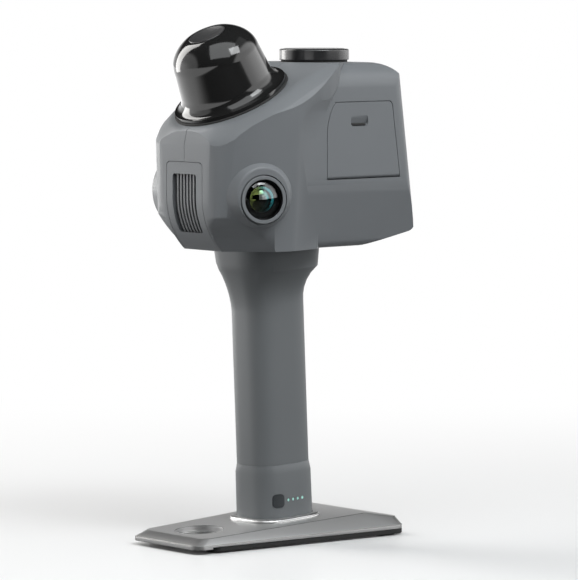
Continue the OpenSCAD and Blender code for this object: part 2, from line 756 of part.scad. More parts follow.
module pins(r) for (end = [0, 1]) {
    y0 = end == 0 ? cover_front_y - pin_l + pin_in : cover_rear_y - pin_in;
    translate([hinge_x, y0, hinge_z]) rotate([-90, 0, 0]) cylinder(r = r, h = pin_l);
}

// Front strip that holds the vent
module bezel_strip(g, t, top, out = 0) intersection() {
    difference() {
        side_body(-out);
        side_body(t);
    }
    translate([0, -head_front, 0]) along_y(-10, bezel_end) translate([0, (head_bottom_z + top) / 2 - 10])
        rounded_square(2 * (bezel_half + g), top - head_bottom_z + 20 + 2 * g, bezel_corner_r);
}

module vent_hole(g, y0, y1) translate([0, -head_front, 0]) along_y(y0, y1)
    translate([0, vent_top_z - vent_h / 2]) rounded_square(vent_w + 2 * g, vent_h + 2 * g, vent_r);

module display_pocket() in_rear() translate([0, 0, -display_t - panel_t])
    rounded_bar(display_w + 2 * seat_clear, display_h + 2 * seat_clear, 3, far);

module neck_holes(r, z0) for (x = [-1, 1]) for (y = [-1, 1])
    translate([x * screw_x, y * screw_y - neck_top * sin(plate_pitch), z0]) cylinder(r = r, h = far, $fn = 24);

// Both shells as one block, before the seam divides them
module shell_block() difference() {
    union() {
        difference() {
            union() {
                head_body(0);
                camera_boss();
                on_left() camera_boss();
            }
            head_body(wall);
        }
        cover_frame();
        bezel_backing();
        display_frame_block();
    }
    camera_bores();
    on_left() camera_bores();
    cover_recess();
    bay_block(0);
    pins(pin_d / 2);
    bezel_strip(bezel_gap, bezel_t + seat_clear, bezel_top_z, 1);
    vent_hole(1, -10, vent_depth + 20);
    display_pocket();
    in_sensor() translate([0, 0, -base_depth / 2]) cylinder(r = base_r + seat_clear, h = far);
    translate([0, socket_y, head_top_z - socket_depth]) cylinder(r = socket_r + seat_clear, h = far);
    translate([0, 0, head_bottom_z - 1]) linear_extrude(wall + 2)
        translate([0, -neck_top * sin(plate_pitch)]) circle(d = cell_bore_d - 4);
    neck_bolt_clear();
}

module neck_bolt_clear() for (x = [-1, 1]) for (y = [-1, 1])
    translate([x * screw_x, y * screw_y - neck_top * sin(plate_pitch), head_bottom_z - 1])
        cylinder(r = bolt_r + seat_clear, h = wall + 2, $fn = 24);

// Thick frame behind the cover, which carries the rebate, the bay and the hinge pins
module cover_frame() intersection() {
    head_body(0);
    translate([bay_x0 - bay_wall, bay_y0 - 9, bay_z0 - 9])
        cube([far, bay_y1 - bay_y0 + 18, bay_z1 - bay_z0 + 14]);
}

// Thick strip behind the vent's bezel
module bezel_backing() intersection() {
    head_body(0);
    difference() {
        side_body(0);
        side_body(backing_t);
    }
    translate([-bezel_half - 3, -head_front - 1, 0]) cube([2 * bezel_half + 6, 20, bezel_top_z + 3]);
}

// Thick frame behind the display
module display_frame_block() intersection() {
    head_body(0);
    in_rear() translate([0, 0, -display_t - panel_t - wall])
        rounded_bar(display_w + 6, display_h + 6, 4, far);
}

module head_shell_right() color(shell_grey) intersection() {
    shell_block();
    translate([seam / 2, -far / 2, 0]) cube([far, far, far + head_top_z]);
}

module head_shell_left() color(shell_grey) intersection() {
    shell_block();
    translate([-far - seam / 2, -far / 2, 0]) cube([far, far, far + head_top_z]);
}

// Inside the head

module neck_plate() color(metal_grey) difference() {
    translate([0, -neck_top * sin(plate_pitch), deck_plate_z]) {
        rounded_bar(2 * screw_x + 14, 2 * screw_y + 26, 4, plate_t);
        for (x = [-1, 1]) for (y = [-1, 1]) translate([x * screw_x, y * (screw_y + 9), 0])
            cylinder(r = neck_post_r, h = plate_t + neck_post_h);
    }
    translate([0, -neck_top * sin(plate_pitch), deck_plate_z - 1]) cylinder(d = cell_bore_d - 4, h = plate_t + 2);
    neck_holes(bolt_r + seat_clear, deck_plate_z - 1);
}

module neck_screws() color(dark_metal) for (x = [-1, 1]) for (y = [-1, 1])
    translate([x * screw_x, y * screw_y - neck_top * sin(plate_pitch), 0]) {
        translate([0, 0, head_bottom_z - 7]) cylinder(r = bolt_r - 0.3, h = wall + plate_t + 7, $fn = 24);
        translate([0, 0, deck_plate_z + plate_t]) cylinder(r = bolt_r + 1.2, h = 2, $fn = 24);
    }

module main_board() color(board_green) translate([-main_board_w / 2, -main_board_l / 2 + 4, main_board_z])
    cube([main_board_w, main_board_l, board_t]);

module heat_sink() color(metal_grey) translate([0, 4, main_board_z + board_t]) {
    sink_w = 2 * screw_x - 2 * bolt_r - 6;
    translate([-sink_w / 2, -22, 0]) cube([sink_w, 44, 2.5]);
    for (x = [-sink_w / 2 : sink_pitch : sink_w / 2 - sink_fin_t])
        translate([x, -22, 0]) cube([sink_fin_t, 44, sink_h]);
}

module fan_frame() color(soft_black) translate([0, fan_y, fan_z]) rotate([-90, 0, 0]) {
    difference() {
        rounded_bar(fan_w, fan_w, 2.5, fan_t);
        translate([0, 0, -1]) cylinder(d = fan_w - 2.4, h = fan_t + 2);
    }
    translate([0, 0, fan_t - 1.6]) difference() {
        union() {
            cylinder(r = fan_hub_r, h = 1.6);
            for (a = [0 : 120 : 240]) rotate(a + 30) translate([0, -1, 0]) cube([fan_w / 2 - 0.6, 2, 1.6]);
        }
        translate([0, 0, -1]) cylinder(r = fan_shaft_r + run_clear, h = 4);
    }
}

module fan_rotor() color(gloss_black) translate([0, fan_y, fan_z]) rotate([-90, 0, 0]) {
    translate([0, 0, 0.8]) cylinder(r = fan_hub_r, h = fan_t - 3);
    translate([0, 0, 0.5]) cylinder(r = fan_shaft_r, h = fan_t - 0.5);
    for (i = [0 : fan_blades - 1]) rotate(360 * i / fan_blades)
        translate([fan_hub_r - 1, 0, fan_t / 2 - 0.8]) rotate([35, 0, 0])
            translate([0, -fan_blade_t / 2, -1.9]) cube([fan_w / 2 - 2.2 - fan_hub_r, fan_blade_t, 3.8]);
}

module vent_bezel() color(shell_grey) difference() {
    bezel_strip(0, bezel_t, bezel_top_z);
    vent_hole(0, -10, vent_depth + 20);
}

module vent_fins() color(soft_black) {
    difference() {
        intersection() {
            vent_hole(0.9, 0, vent_depth);
            side_body(bezel_t + 0.1);
        }
        vent_hole(-0.6, -10, vent_depth + 10);
    }
    intersection() {
        step = (vent_w - 1.2) / (fin_count + 1);
        for (i = [1 : fin_count])
            translate([-vent_w / 2 + 0.6 + i * step - fin_t / 2, -head_front, vent_top_z - vent_h])
                cube([fin_t, vent_depth, vent_h]);
        side_body(1);
        vent_hole(-0.2, -10, vent_depth + 10);
    }
}

// Room sensor

module sensor_gasket() color(soft_black) in_sensor() tube(flange_r + 1, flange_r - gasket_w, gasket_t);

module sensor_base() color(dark_metal) in_sensor() {
    difference() {
        translate([0, 0, -base_depth]) cylinder(r = base_r, h = base_depth + gasket_t);
        translate([0, 0, -base_depth + base_floor]) cylinder(r = base_r - base_wall, h = far);
        translate([0, 0, -base_depth - 1]) cylinder(r = spindle_r + run_clear, h = far);
    }
    translate([0, 0, -base_depth]) tube(spindle_boss_r, spindle_r + run_clear, base_depth - 6);
}

// Profile of the bell-shaped window: radius and height above its foot
function bell(d) =
    let (neck_h = 10, shoulder_z = window_h - 15.5, top_r = crown_r - d * 0.5,
        sweep = [for (i = [0 : 8]) let (t = 90 * i / 8)
            [top_r + (window_r - d - top_r) * pow(sin(t), 1.5), shoulder_z + (window_h - d - shoulder_z) * cos(t)]],
        low_r = window_r + 1.6 - d,
        flare = [for (i = [0 : 6]) let (t = 90 * i / 6)
            [low_r + (flange_r - d - low_r) * (1 - cos(t)), neck_h - (neck_h - 2) * sin(t)]])
    concat(sweep, flare);

module sensor_window() color(gloss_black) in_sensor() translate([0, 0, gasket_t]) rotate_extrude($fn = 96) polygon(concat(
    [[crown_r - crown_rim, window_h]], bell(0), [[flange_r, 0], [base_r - base_wall, 0]],
    [for (i = [len(bell(window_t)) - 1 : -1 : 0]) let (p = bell(window_t)[i]) [min(p[0], base_r - base_wall), p[1]]],
    [[crown_r - crown_rim, window_h - window_t]]));

module sensor_crown() color(dark_metal) in_sensor() translate([0, 0, gasket_t + window_h - 1.2]) {
    cylinder(r = crown_r - crown_rim - seat_clear, h = 1.4);
}

module sensor_stator() color(brass_tone) in_sensor() translate([0, 0, -base_depth + base_floor])
    tube(base_r - base_wall - seat_clear, rotor_r + rotor_gap, 6);

module sensor_rotor() color(dark_metal) in_sensor() {
    translate([0, 0, -base_depth]) cylinder(r = spindle_r, h = base_depth);
    difference() {
        translate([0, 0, -base_depth + base_floor + 0.6]) cylinder(r = rotor_r, h = base_depth - base_floor + 4);
        translate([0, 0, -base_depth]) cylinder(r = spindle_boss_r + rotor_gap, h = base_depth - 5.4);
    }
}

module sensor_mirror() color(metal_grey) in_sensor() difference() {
    translate([0, 0, 4.6]) cylinder(r = rotor_r, h = 22);
    translate([-far / 2, 0, 8]) rotate([45, 0, 0]) cube(far);
}

// Side cameras, drawn for the right side

module camera_bezel() color(shell_grey) in_camera() difference() {
    translate([0, 0, boss_h - glass_t]) cylinder(r1 = lens_bezel_r, r2 = lens_bezel_r - 0.6, h = lens_bezel_h + 0.6);
    translate([0, 0, boss_h - glass_t - 1]) cylinder(r = barrel_out_r + seat_clear, h = glass_t + 1 - 0.2);
    translate([0, 0, boss_h - glass_t - 1]) cylinder(r = glass_r + 0.3, h = far);
}

module camera_barrel() color(soft_black) in_camera() difference() {
    union() {
        translate([0, 0, boss_h - barrel_len]) cylinder(r = barrel_out_r, h = barrel_len - 0.3);
        translate([0, 0, boss_h - glass_t - barrel_flange]) cylinder(r = lens_bezel_r, h = barrel_flange);
    }
    translate([0, 0, boss_h - glass_t - glass_seat]) cylinder(r = glass_r + run_clear, h = far);
    translate([0, 0, boss_h - barrel_len + 8]) cylinder(r1 = 4, r2 = glass_r - 1.2, h = barrel_len - 8 - glass_t);
}

module camera_glass() color([0.1, 0.14, 0.16, 0.6]) in_camera() translate([0, 0, boss_h - glass_t - glass_seat]) intersection() {
    cylinder(r = glass_r, h = glass_t + 2);
    dome_r = 24;
    translate([0, 0, glass_t + 1.6 - dome_r]) sphere(r = dome_r, $fn = 96);
}

module camera_board() color(board_green) in_camera() translate([0, 0, boss_h - barrel_len - board_t])
    rounded_bar(camera_board_w, camera_board_w, 2, board_t);

module camera_bezel_right() camera_bezel();
module camera_bezel_left() on_left() camera_bezel();
module camera_barrel_right() camera_barrel();
module camera_barrel_left() on_left() camera_barrel();
module camera_glass_right() camera_glass();
module camera_glass_left() on_left() camera_glass();
module camera_board_right() camera_board();
module camera_board_left() on_left() camera_board();

// Side cover and the bay behind it

module side_cover() color(shell_grey) difference() {
    union() {
        along_x(box_half - cover_t, box_half) polygon(cover_outline(0));
        cover_barrel(barrel_r, 0);
    }
    pins(pin_d / 2 + run_clear);
    intersection() {
        translate([0, notch_y - notch_w / 2, 0]) along_y(-1, notch_w + 1) polygon([
            [box_half + 0.1, cover_top_z - notch_drop], [box_half - notch_depth, cover_top_z - notch_drop - notch_h + 1.6],
            [box_half - notch_depth, cover_top_z - notch_drop - notch_h - 1], [box_half + 0.1, cover_top_z - notch_drop - notch_h - 1]]);
        translate([box_half - cover_t, notch_y, cover_top_z - notch_drop - notch_h / 2]) rotate([0, 90, 0])
            rounded_bar(notch_h, notch_w, notch_r, cover_t + 1);
    }
}

module cover_pins() color(metal_grey) pins(pin_d / 2);

module bay_tray() color(soft_black) difference() {
    bay_block(-seat_clear);
    bay_box(-bay_wall - seat_clear);
}

module port_board() color(board_green) translate([bay_x0 + bay_wall + seat_clear, bay_y0 + 4, bay_z0 + 4])
    cube([board_t, bay_y1 - bay_y0 - 8, bay_z1 - bay_z0 - 8]);

module port_sockets() color(metal_grey) for (y = [0, 1])
    translate([bay_x0 + bay_wall + seat_clear + board_t, bay_y0 + 12 + y * 14, (bay_z0 + bay_z1) / 2]) rotate([0, 90, 0]) difference() {
        rounded_bar(9, 3.6, 1.7, 6);
        translate([0, 0, 1]) rounded_bar(8.2, 2.6, 1.2, 6);
    }

// Display on the rear face

module display_bezel() color(soft_black) in_rear() translate([0, 0, -display_t - panel_t]) difference() {
    rounded_bar(display_w, display_h, 2.8, display_t + panel_t);
    translate([0, 0, -1]) rounded_bar(display_w - 2 * display_frame, display_h - 2 * display_frame, 1.6, far);
}

module display_glass() color(gloss_black) in_rear() translate([0, 0, -display_t - 0.2])
    rounded_bar(display_w - 2 * display_frame - 2 * seat_clear, display_h - 2 * display_frame - 2 * seat_clear, 1.5, display_t);

module display_panel() color(dark_metal) in_rear() translate([0, 0, -display_t - panel_t])
    rounded_bar(display_w - 2 * display_frame - 4, display_h - 2 * display_frame - 4, 1, panel_t - 0.2);

// Socket and screw cap on the top

module top_socket() color(dark_metal) translate([0, socket_y, 0]) difference() {
    union() {
        translate([0, 0, head_top_z - socket_depth]) cylinder(r = socket_r, h = socket_depth + seal_h + socket_up);
        translate([0, 0, head_top_z - wall - seat_clear - socket_flange]) cylinder(r = socket_r + 2, h = socket_flange);
    }
    translate([0, 0, head_top_z - socket_depth + 3]) cylinder(r = socket_r - 4, h = far);
}

module cap_seal() color(soft_black) translate([0, socket_y, head_top_z]) tube(cap_d / 2 - 1, socket_r + cap_wall_clear, seal_h - 0.1);

module top_cap() color(gloss_black) translate([0, socket_y, cap_bottom_z]) difference() {
    union() {
        cylinder(d = cap_d, h = cap_h - cap_edge);
        translate([0, 0, cap_h - cap_edge]) cylinder(d1 = cap_d, d2 = cap_d - 2 * cap_edge, h = cap_edge);
        translate([0, 0, cap_h]) cylinder(d1 = cap_d - 4, d2 = cap_d - 4 - 4 * cap_crown, h = cap_crown);
    }
    translate([0, 0, -1]) cylinder(r = socket_r + cap_wall_clear, h = socket_up + 1.4);
}

in_frame() base_plate();
in_frame() base_pad();
in_frame() rubber_feet();
in_frame() base_screw();
in_frame() foot_insert();
in_frame() grip_foot();
in_frame() grip_shell();
in_frame() cell_lower();
in_frame() cell_upper();
in_frame() contact_leaf();
in_frame() contact_block();
in_frame() charge_board();
in_frame() button_switch();
in_frame() power_button();
in_frame() charge_lights();
in_frame() head_shell_right();
in_frame() head_shell_left();
in_frame() neck_plate();
in_frame() neck_screws();
in_frame() main_board();
in_frame() heat_sink();
in_frame() fan_frame();
in_frame() fan_rotor();
in_frame() vent_bezel();
in_frame() vent_fins();
in_frame() sensor_gasket();
in_frame() sensor_base();
in_frame() sensor_window();
in_frame() sensor_crown();
in_frame() sensor_stator();
in_frame() sensor_rotor();
in_frame() sensor_mirror();
in_frame() camera_bezel_right();
in_frame() camera_bezel_left();
in_frame() camera_barrel_right();
in_frame() camera_barrel_left();
in_frame() camera_glass_right();
in_frame() camera_glass_left();
in_frame() camera_board_right();
in_frame() camera_board_left();
in_frame() side_cover();
in_frame() cover_pins();
in_frame() bay_tray();
in_frame() port_board();
in_frame() port_sockets();
in_frame() display_bezel();
in_frame() display_glass();
in_frame() display_panel();
in_frame() top_socket();
in_frame() cap_seal();
in_frame() top_cap();
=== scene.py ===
"""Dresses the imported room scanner: finishes, softened edges, small fittings, stage, lights and camera."""

from __future__ import annotations

import json
import logging
import math
from dataclasses import dataclass, field
from enum import Enum

import bpy
from mathutils import Matrix, Vector

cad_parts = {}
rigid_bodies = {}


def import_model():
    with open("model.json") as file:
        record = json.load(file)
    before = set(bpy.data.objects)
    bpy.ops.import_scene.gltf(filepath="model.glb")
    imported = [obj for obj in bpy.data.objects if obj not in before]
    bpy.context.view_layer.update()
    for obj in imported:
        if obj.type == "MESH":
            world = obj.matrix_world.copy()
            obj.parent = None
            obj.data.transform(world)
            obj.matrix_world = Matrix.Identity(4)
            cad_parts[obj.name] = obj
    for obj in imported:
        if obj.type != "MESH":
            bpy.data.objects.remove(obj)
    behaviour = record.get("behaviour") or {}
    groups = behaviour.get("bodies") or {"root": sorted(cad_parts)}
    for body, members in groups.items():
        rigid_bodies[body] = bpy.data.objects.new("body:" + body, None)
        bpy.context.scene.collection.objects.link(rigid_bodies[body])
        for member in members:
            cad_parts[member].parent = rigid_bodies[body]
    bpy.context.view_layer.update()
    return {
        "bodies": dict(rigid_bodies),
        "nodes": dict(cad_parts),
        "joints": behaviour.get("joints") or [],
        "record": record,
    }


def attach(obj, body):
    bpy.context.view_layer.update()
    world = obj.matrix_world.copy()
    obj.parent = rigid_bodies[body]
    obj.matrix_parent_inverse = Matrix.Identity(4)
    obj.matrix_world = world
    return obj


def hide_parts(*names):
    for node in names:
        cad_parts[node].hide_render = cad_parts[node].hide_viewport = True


LOG = logging.getLogger("scanner")
MM = 0.001
Colour = tuple[float, float, float]
Limits = tuple[float, float]
Profile = list[tuple[float, float]]
Socket = bpy.types.NodeSocket
Tree = bpy.types.NodeTree
PER_METRE = 1000.0
ORIGIN = (0.0, 0.0, 0.0)
SPIN_STEPS = 96
COPY_MERGE = 4e-06
SPIN_MERGE = 2e-06
FLAT_ANGLE = math.radians(0.25)
EDGE_ANGLE = math.radians(24.0)
COPY_SMOOTH = math.radians(40.0)
NEW_SMOOTH = math.radians(34.0)
FACE_WEIGHT = 80


class Texture(Enum):
    """Kind of fine surface texture that a finish carries."""

    PEEL = "peel"
    BLAST = "blast"
    BRUSHED = "brushed"
    TRACES = "traces"


class Side(Enum):
    """Side of the head that a camera sits on, as the sign of X."""

    RIGHT = 1
    LEFT = -1


def srgb(red: int, green: int, blue: int) -> Colour:
    """Turns an eight-bit colour into scene-linear values.

    Args:
        red: Red from 0 to 255.
        green: Green from 0 to 255.
        blue: Blue from 0 to 255.

    Returns:
        The linear colour.
    """
    parts = []
    for value in (red, green, blue):
        share = value / 255
        parts.append(share / 12.92 if share <= 0.04045 else ((share + 0.055) / 1.055) ** 2.4)
    return (parts[0], parts[1], parts[2])


def scaled(colour: Colour, share: float) -> Colour:
    """Returns a colour made lighter or darker by a share."""
    return (colour[0] * share, colour[1] * share, colour[2] * share)


def grey(level: float) -> tuple[float, float, float, float]:
    """Returns an opaque grey of a linear level."""
    return (level, level, level, 1.0)


class Steps:
    """Small steps of arithmetic that node trees are put together from."""

    @staticmethod
    def combine(tree: Tree, operation: str, *values: Socket | float, clamp: bool = False) -> Socket:
        """Adds one Math node.

        Args:
            tree: Node tree to add to.
            operation: What the node does.
            values: Its inputs in order, each a socket or a number.
            clamp: Whether the result is held between zero and one.

        Returns:
            The result.
        """
        node = tree.nodes.new("ShaderNodeMath")
        node.operation = operation
        node.use_clamp = clamp
        for number, value in enumerate(values):
            if isinstance(value, bpy.types.NodeSocket):
                tree.links.new(value, node.inputs[number])
            else:
                node.inputs[number].default_value = value
        return node.outputs["Value"]

    @staticmethod
    def smooth(tree: Tree, value: Socket, limits: Limits) -> Socket:
        """Adds a smooth rise from zero to one.

        Args:
            tree: Node tree to add to.
            value: What the rise follows.
            limits: Where it starts and ends.

        Returns:
            The risen value.
        """
        rise = tree.nodes.new("ShaderNodeMapRange")
        rise.interpolation_type = "SMOOTHSTEP"
        rise.inputs["From Min"].default_value = limits[0]
        rise.inputs["From Max"].default_value = limits[1]
        tree.links.new(value, rise.inputs["Value"])
        return rise.outputs["Result"]

    @classmethod
    def ramp(cls, tree: Tree, place: Socket, axis: Vector, limits: Limits) -> Socket:
        """Adds a smooth rise from zero to one along a direction.

        Args:
            tree: Node tree to add to.
            place: Place or direction that is looked up.
            axis: Direction of the rise.
            limits: Where it starts and ends along that direction.

        Returns:
            The risen value.
        """
        along = tree.nodes.new("ShaderNodeVectorMath")
        along.operation = "DOT_PRODUCT"
        along.inputs[1].default_value = axis
        tree.links.new(place, along.inputs[0])
        return cls.smooth(tree, along.outputs["Value"], limits)

    @staticmethod
    def mixed(tree: Tree, share: Socket, first: Socket, second: Socket) -> Socket:
        """Adds a mix of two shaders.

        Args:
            tree: Node tree to add to.
            share: Share of the second one.
            first: The first shader.
            second: The second shader.

        Returns:
            The mixed shader.
        """
        mix = tree.nodes.new("ShaderNodeMixShader")
        tree.links.new(share, mix.inputs["Fac"])
        tree.links.new(first, mix.inputs[1])
        tree.links.new(second, mix.inputs[2])
        return mix.outputs["Shader"]


class SurfaceGroups:
    """Shader node groups that several finishes share."""

    NOISES = (("Grain", 2.0, "Grain Scale"), ("Cloud", 3.0, "Cloud Scale"))
    NOISE_ROUGH = 0.55
    STREAK_SQUEEZE = (0.02, 1.0, 1.0)
    STREAK_DETAIL = 4.0
    TRACE_WIDTH = 0.06
    TRACE_TURN = (0.9, 0.4, 0.0)
    TRACE_SHADES = (("Color1", 0.0), ("Color2", 0.15), ("Mortar", 1.0))

    @staticmethod
    def fresh(name: str, inputs: tuple[str, ...], outputs: tuple[str, ...]) -> Tree:
        """Makes an empty node group with a place and values as its sockets.

        Args:
            name: Name of the group.
            inputs: Name of each value that it takes beside the place.
            outputs: Name of each value that it gives.

        Returns:
            The new group.
        """
        tree = bpy.data.node_groups.new(name, "ShaderNodeTree")
        tree.interface.new_socket("Vector", in_out="INPUT", socket_type="NodeSocketVector")
        for label in inputs:
            tree.interface.new_socket(label, in_out="INPUT", socket_type="NodeSocketFloat")
        for label in outputs:
            tree.interface.new_socket(label, in_out="OUTPUT", socket_type="NodeSocketFloat")
        tree.nodes.new("NodeGroupInput").name = "ins"
        tree.nodes.new("NodeGroupOutput").name = "outs"
        return tree

    @classmethod
    def grain(cls) -> Tree:
        """Returns the group that gives fine grain, slow clouding and specks over a surface."""
        made = bpy.data.node_groups.get("grain_and_cloud")
        if made:
            return made
        tree = cls.fresh("grain_and_cloud", ("Grain Scale", "Cloud Scale"), ("Grain", "Cloud", "Speck"))
        ins = tree.nodes["ins"]
        outs = tree.nodes["outs"]
        for label, detail, source in cls.NOISES:
            noise = tree.nodes.new("ShaderNodeTexNoise")
            noise.inputs["Detail"].default_value = detail
            noise.inputs["Roughness"].default_value = cls.NOISE_ROUGH
            tree.links.new(ins.outputs["Vector"], noise.inputs["Vector"])
            tree.links.new(ins.outputs[source], noise.inputs["Scale"])
            tree.links.new(noise.outputs["Fac"], outs.inputs[label])
        cells = tree.nodes.new("ShaderNodeTexVoronoi")
        tree.links.new(ins.outputs["Vector"], cells.inputs["Vector"])
        tree.links.new(ins.outputs["Grain Scale"], cells.inputs["Scale"])
        tree.links.new(cells.outputs["Distance"], outs.inputs["Speck"])
        return tree

    @classmethod
    def streaks(cls) -> Tree:
        """Returns the group that gives fine streaks along X, as brushing leaves."""
        made = bpy.data.node_groups.get("brush_streaks")
        if made:
            return made
        tree = cls.fresh("brush_streaks", ("Scale",), ("Streak",))
        squeeze = tree.nodes.new("ShaderNodeMapping")
        squeeze.inputs["Scale"].default_value = cls.STREAK_SQUEEZE
        noise = tree.nodes.new("ShaderNodeTexNoise")
        noise.inputs["Detail"].default_value = cls.STREAK_DETAIL
        tree.links.new(tree.nodes["ins"].outputs["Vector"], squeeze.inputs["Vector"])
        tree.links.new(squeeze.outputs["Vector"], noise.inputs["Vector"])
        tree.links.new(tree.nodes["ins"].outputs["Scale"], noise.inputs["Scale"])
        tree.links.new(noise.outputs["Fac"], tree.nodes["outs"].inputs["Streak"])
        return tree

    @classmethod
    def traces(cls) -> Tree:
        """Returns the group that gives copper traces under a board's mask."""
        made = bpy.data.node_groups.get("board_traces")
        if made:
            return made
        tree = cls.fresh("board_traces", ("Scale",), ("Trace",))
        brick = tree.nodes.new("ShaderNodeTexBrick")
        brick.inputs["Mortar Size"].default_value = cls.TRACE_WIDTH
        for label, level in cls.TRACE_SHADES:
            brick.inputs[label].default_value = grey(level)
        turn = tree.nodes.new("ShaderNodeMapping")
        turn.inputs["Rotation"].default_value = cls.TRACE_TURN
        tree.links.new(tree.nodes["ins"].outputs["Vector"], turn.inputs["Vector"])
        tree.links.new(turn.outputs["Vector"], brick.inputs["Vector"])
        tree.links.new(tree.nodes["ins"].outputs["Scale"], brick.inputs["Scale"])
        tree.links.new(brick.outputs["Color"], tree.nodes["outs"].inputs["Trace"])
        return tree


@dataclass(frozen=True)
class Fade:
    """Second colour that a finish turns into along one direction. The lens coating uses it as a painted
    reflection: the colour shift that comes with the angle of view.
    """

    colour: Colour
    along: tuple[float, float, float]
    limits_mm: Limits


@dataclass(frozen=True)
class Finish:
    """One surface finish, made as a node material with its own grain and variation."""

    name: str
    colour: Colour
    rough: float
    spread: float = 0.06
    rough_spread: float = 0.06
    metal: float = 0.0
    specular: float = 0.5
    coat: float = 0.0
    coat_rough: float = 0.1
    grain_mm: float = 0.4
    cloud_mm: float = 45.0
    cloud_limits: Limits = (0.3, 0.7)
    bump: float = 0.08
    depth_mm: float = 0.02
    texture: Texture = Texture.PEEL
    glow: float = 0.0
    clear: float = 0.0
    fade: Fade | None = None

    def material(self) -> bpy.types.Material:
        """Makes the finish's material once and returns it."""
        made = bpy.data.materials.get(self.name)
        if made:
            return made
        mat = bpy.data.materials.new(self.name)
        mat.use_nodes = True
        tree = mat.node_tree
        shader = tree.nodes["Principled BSDF"]
        place = tree.nodes.new("ShaderNodeTexCoord").outputs["Object"]
        surface = tree.nodes.new("ShaderNodeGroup")
        surface.node_tree = SurfaceGroups.grain()
        surface.inputs["Grain Scale"].default_value = PER_METRE / self.grain_mm
        surface.inputs["Cloud Scale"].default_value = PER_METRE / self.cloud_mm
        tree.links.new(place, surface.inputs["Vector"])
        height = surface.outputs["Grain"]
        vary = surface.outputs["Cloud"]
        if self.texture is Texture.BLAST:
            height = surface.outputs["Speck"]
        elif self.texture is Texture.BRUSHED:
            height = self.extra(tree, place, SurfaceGroups.streaks(), "Streak")
        elif self.texture is Texture.TRACES:
            vary = self.extra(tree, place, SurfaceGroups.traces(), "Trace")
        tree.links.new(self.shade(tree, place, vary), shader.inputs["Base Color"])
        tree.links.new(self.dullness(tree, surface.outputs["Cloud"]), shader.inputs["Roughness"])
        if self.bump > 0.0:
            relief = tree.nodes.new("ShaderNodeBump")
            relief.inputs["Strength"].default_value = self.bump
            relief.inputs["Distance"].default_value = self.depth_mm * MM
            tree.links.new(height, relief.inputs["Height"])
            tree.links.new(relief.outputs["Normal"], shader.inputs["Normal"])
        shader.inputs["Metallic"].default_value = self.metal
        shader.inputs["Transmission Weight"].default_value = self.clear
        shader.inputs["Specular IOR Level"].default_value = self.specular
        shader.inputs["Coat Weight"].default_value = self.coat
        shader.inputs["Coat Roughness"].default_value = self.coat_rough
        if self.glow > 0.0:
            shader.inputs["Emission Color"].default_value = (*self.colour, 1.0)
            shader.inputs["Emission Strength"].default_value = self.glow
        return mat

    def shade(self, tree: Tree, place: Socket, vary: Socket) -> Socket:
        """Varies the colour a little, and turns it into the finish's second one along its direction.

        Args:
            tree: The material's node tree.
            place: Place on the piece.
            vary: What the small variation follows.

        Returns:
            The colour.
        """
        shade = tree.nodes.new("ShaderNodeMix")
        shade.data_type = "RGBA"
        shade.inputs["A"].default_value = (*scaled(self.colour, 1.0 - self.spread), 1.0)
        shade.inputs["B"].default_value = (*scaled(self.colour, 1.0 + self.spread), 1.0)
        tree.links.new(vary, shade.inputs["Factor"])
        if self.fade is None:
            return shade.outputs["Result"]
        limits = (self.fade.limits_mm[0] * MM, self.fade.limits_mm[1] * MM)
        turn = tree.nodes.new("ShaderNodeMix")
        turn.data_type = "RGBA"
        tree.links.new(Steps.ramp(tree, place, Vector(self.fade.along), limits), turn.inputs["Factor"])
        tree.links.new(shade.outputs["Result"], turn.inputs["A"])
        turn.inputs["B"].default_value = (*self.fade.colour, 1.0)
        return turn.outputs["Result"]

    def dullness(self, tree: Tree, cloud: Socket) -> Socket:
        """Varies the roughness with the clouding.

        Args:
            tree: The material's node tree.
            cloud: The clouding.

        Returns:
            The roughness.
        """
        dull = tree.nodes.new("ShaderNodeMapRange")
        dull.inputs["From Min"].default_value = self.cloud_limits[0]
        dull.inputs["From Max"].default_value = self.cloud_limits[1]
        dull.inputs["To Min"].default_value = max(self.rough - self.rough_spread, 0.0)
        dull.inputs["To Max"].default_value = min(self.rough + self.rough_spread, 1.0)
        tree.links.new(cloud, dull.inputs["Value"])
        return dull.outputs["Result"]

    def extra(self, tree: Tree, place: Socket, group: Tree, label: str) -> Socket:
        """Adds one more shared group to the material.

        Args:
            tree: The material's node tree.
            place: Place on the piece.
            group: The group to add.
            label: The output to use.

        Returns:
            That output.
        """
        more = tree.nodes.new("ShaderNodeGroup")
        more.node_tree = group
        more.inputs["Scale"].default_value = PER_METRE / self.grain_mm
        tree.links.new(place, more.inputs["Vector"])
        return more.outputs[label]


SHELL = Finish("shell_coat", srgb(112, 115, 118), 0.42, spread=0.03, specular=0.3, grain_mm=0.5, bump=0.05)
# The shell's rounded edges are a touch lighter than its faces: partly rubbed wear, partly a painted
# highlight.
SHELL_EDGE = Finish("shell_coat_edge", srgb(116, 119, 121), 0.38, spread=0.03, specular=0.3, grain_mm=0.5,
                    bump=0.03)
GRIP = Finish("grip_coat", srgb(106, 109, 111), 0.42, spread=0.03, specular=0.3, grain_mm=0.5, bump=0.05)
# The grip's rounded edges are a touch lighter than its faces: partly rubbed wear, partly a painted highlight.
GRIP_EDGE = Finish("grip_coat_edge", srgb(110, 113, 115), 0.38, spread=0.03, specular=0.3, grain_mm=0.5,
                   bump=0.03)
PLATE = Finish("plate_metal", srgb(198, 198, 197), 0.15, spread=0.04, rough_spread=0.05, metal=1.0,
               grain_mm=0.28, bump=0.12, depth_mm=0.01, texture=Texture.BLAST)
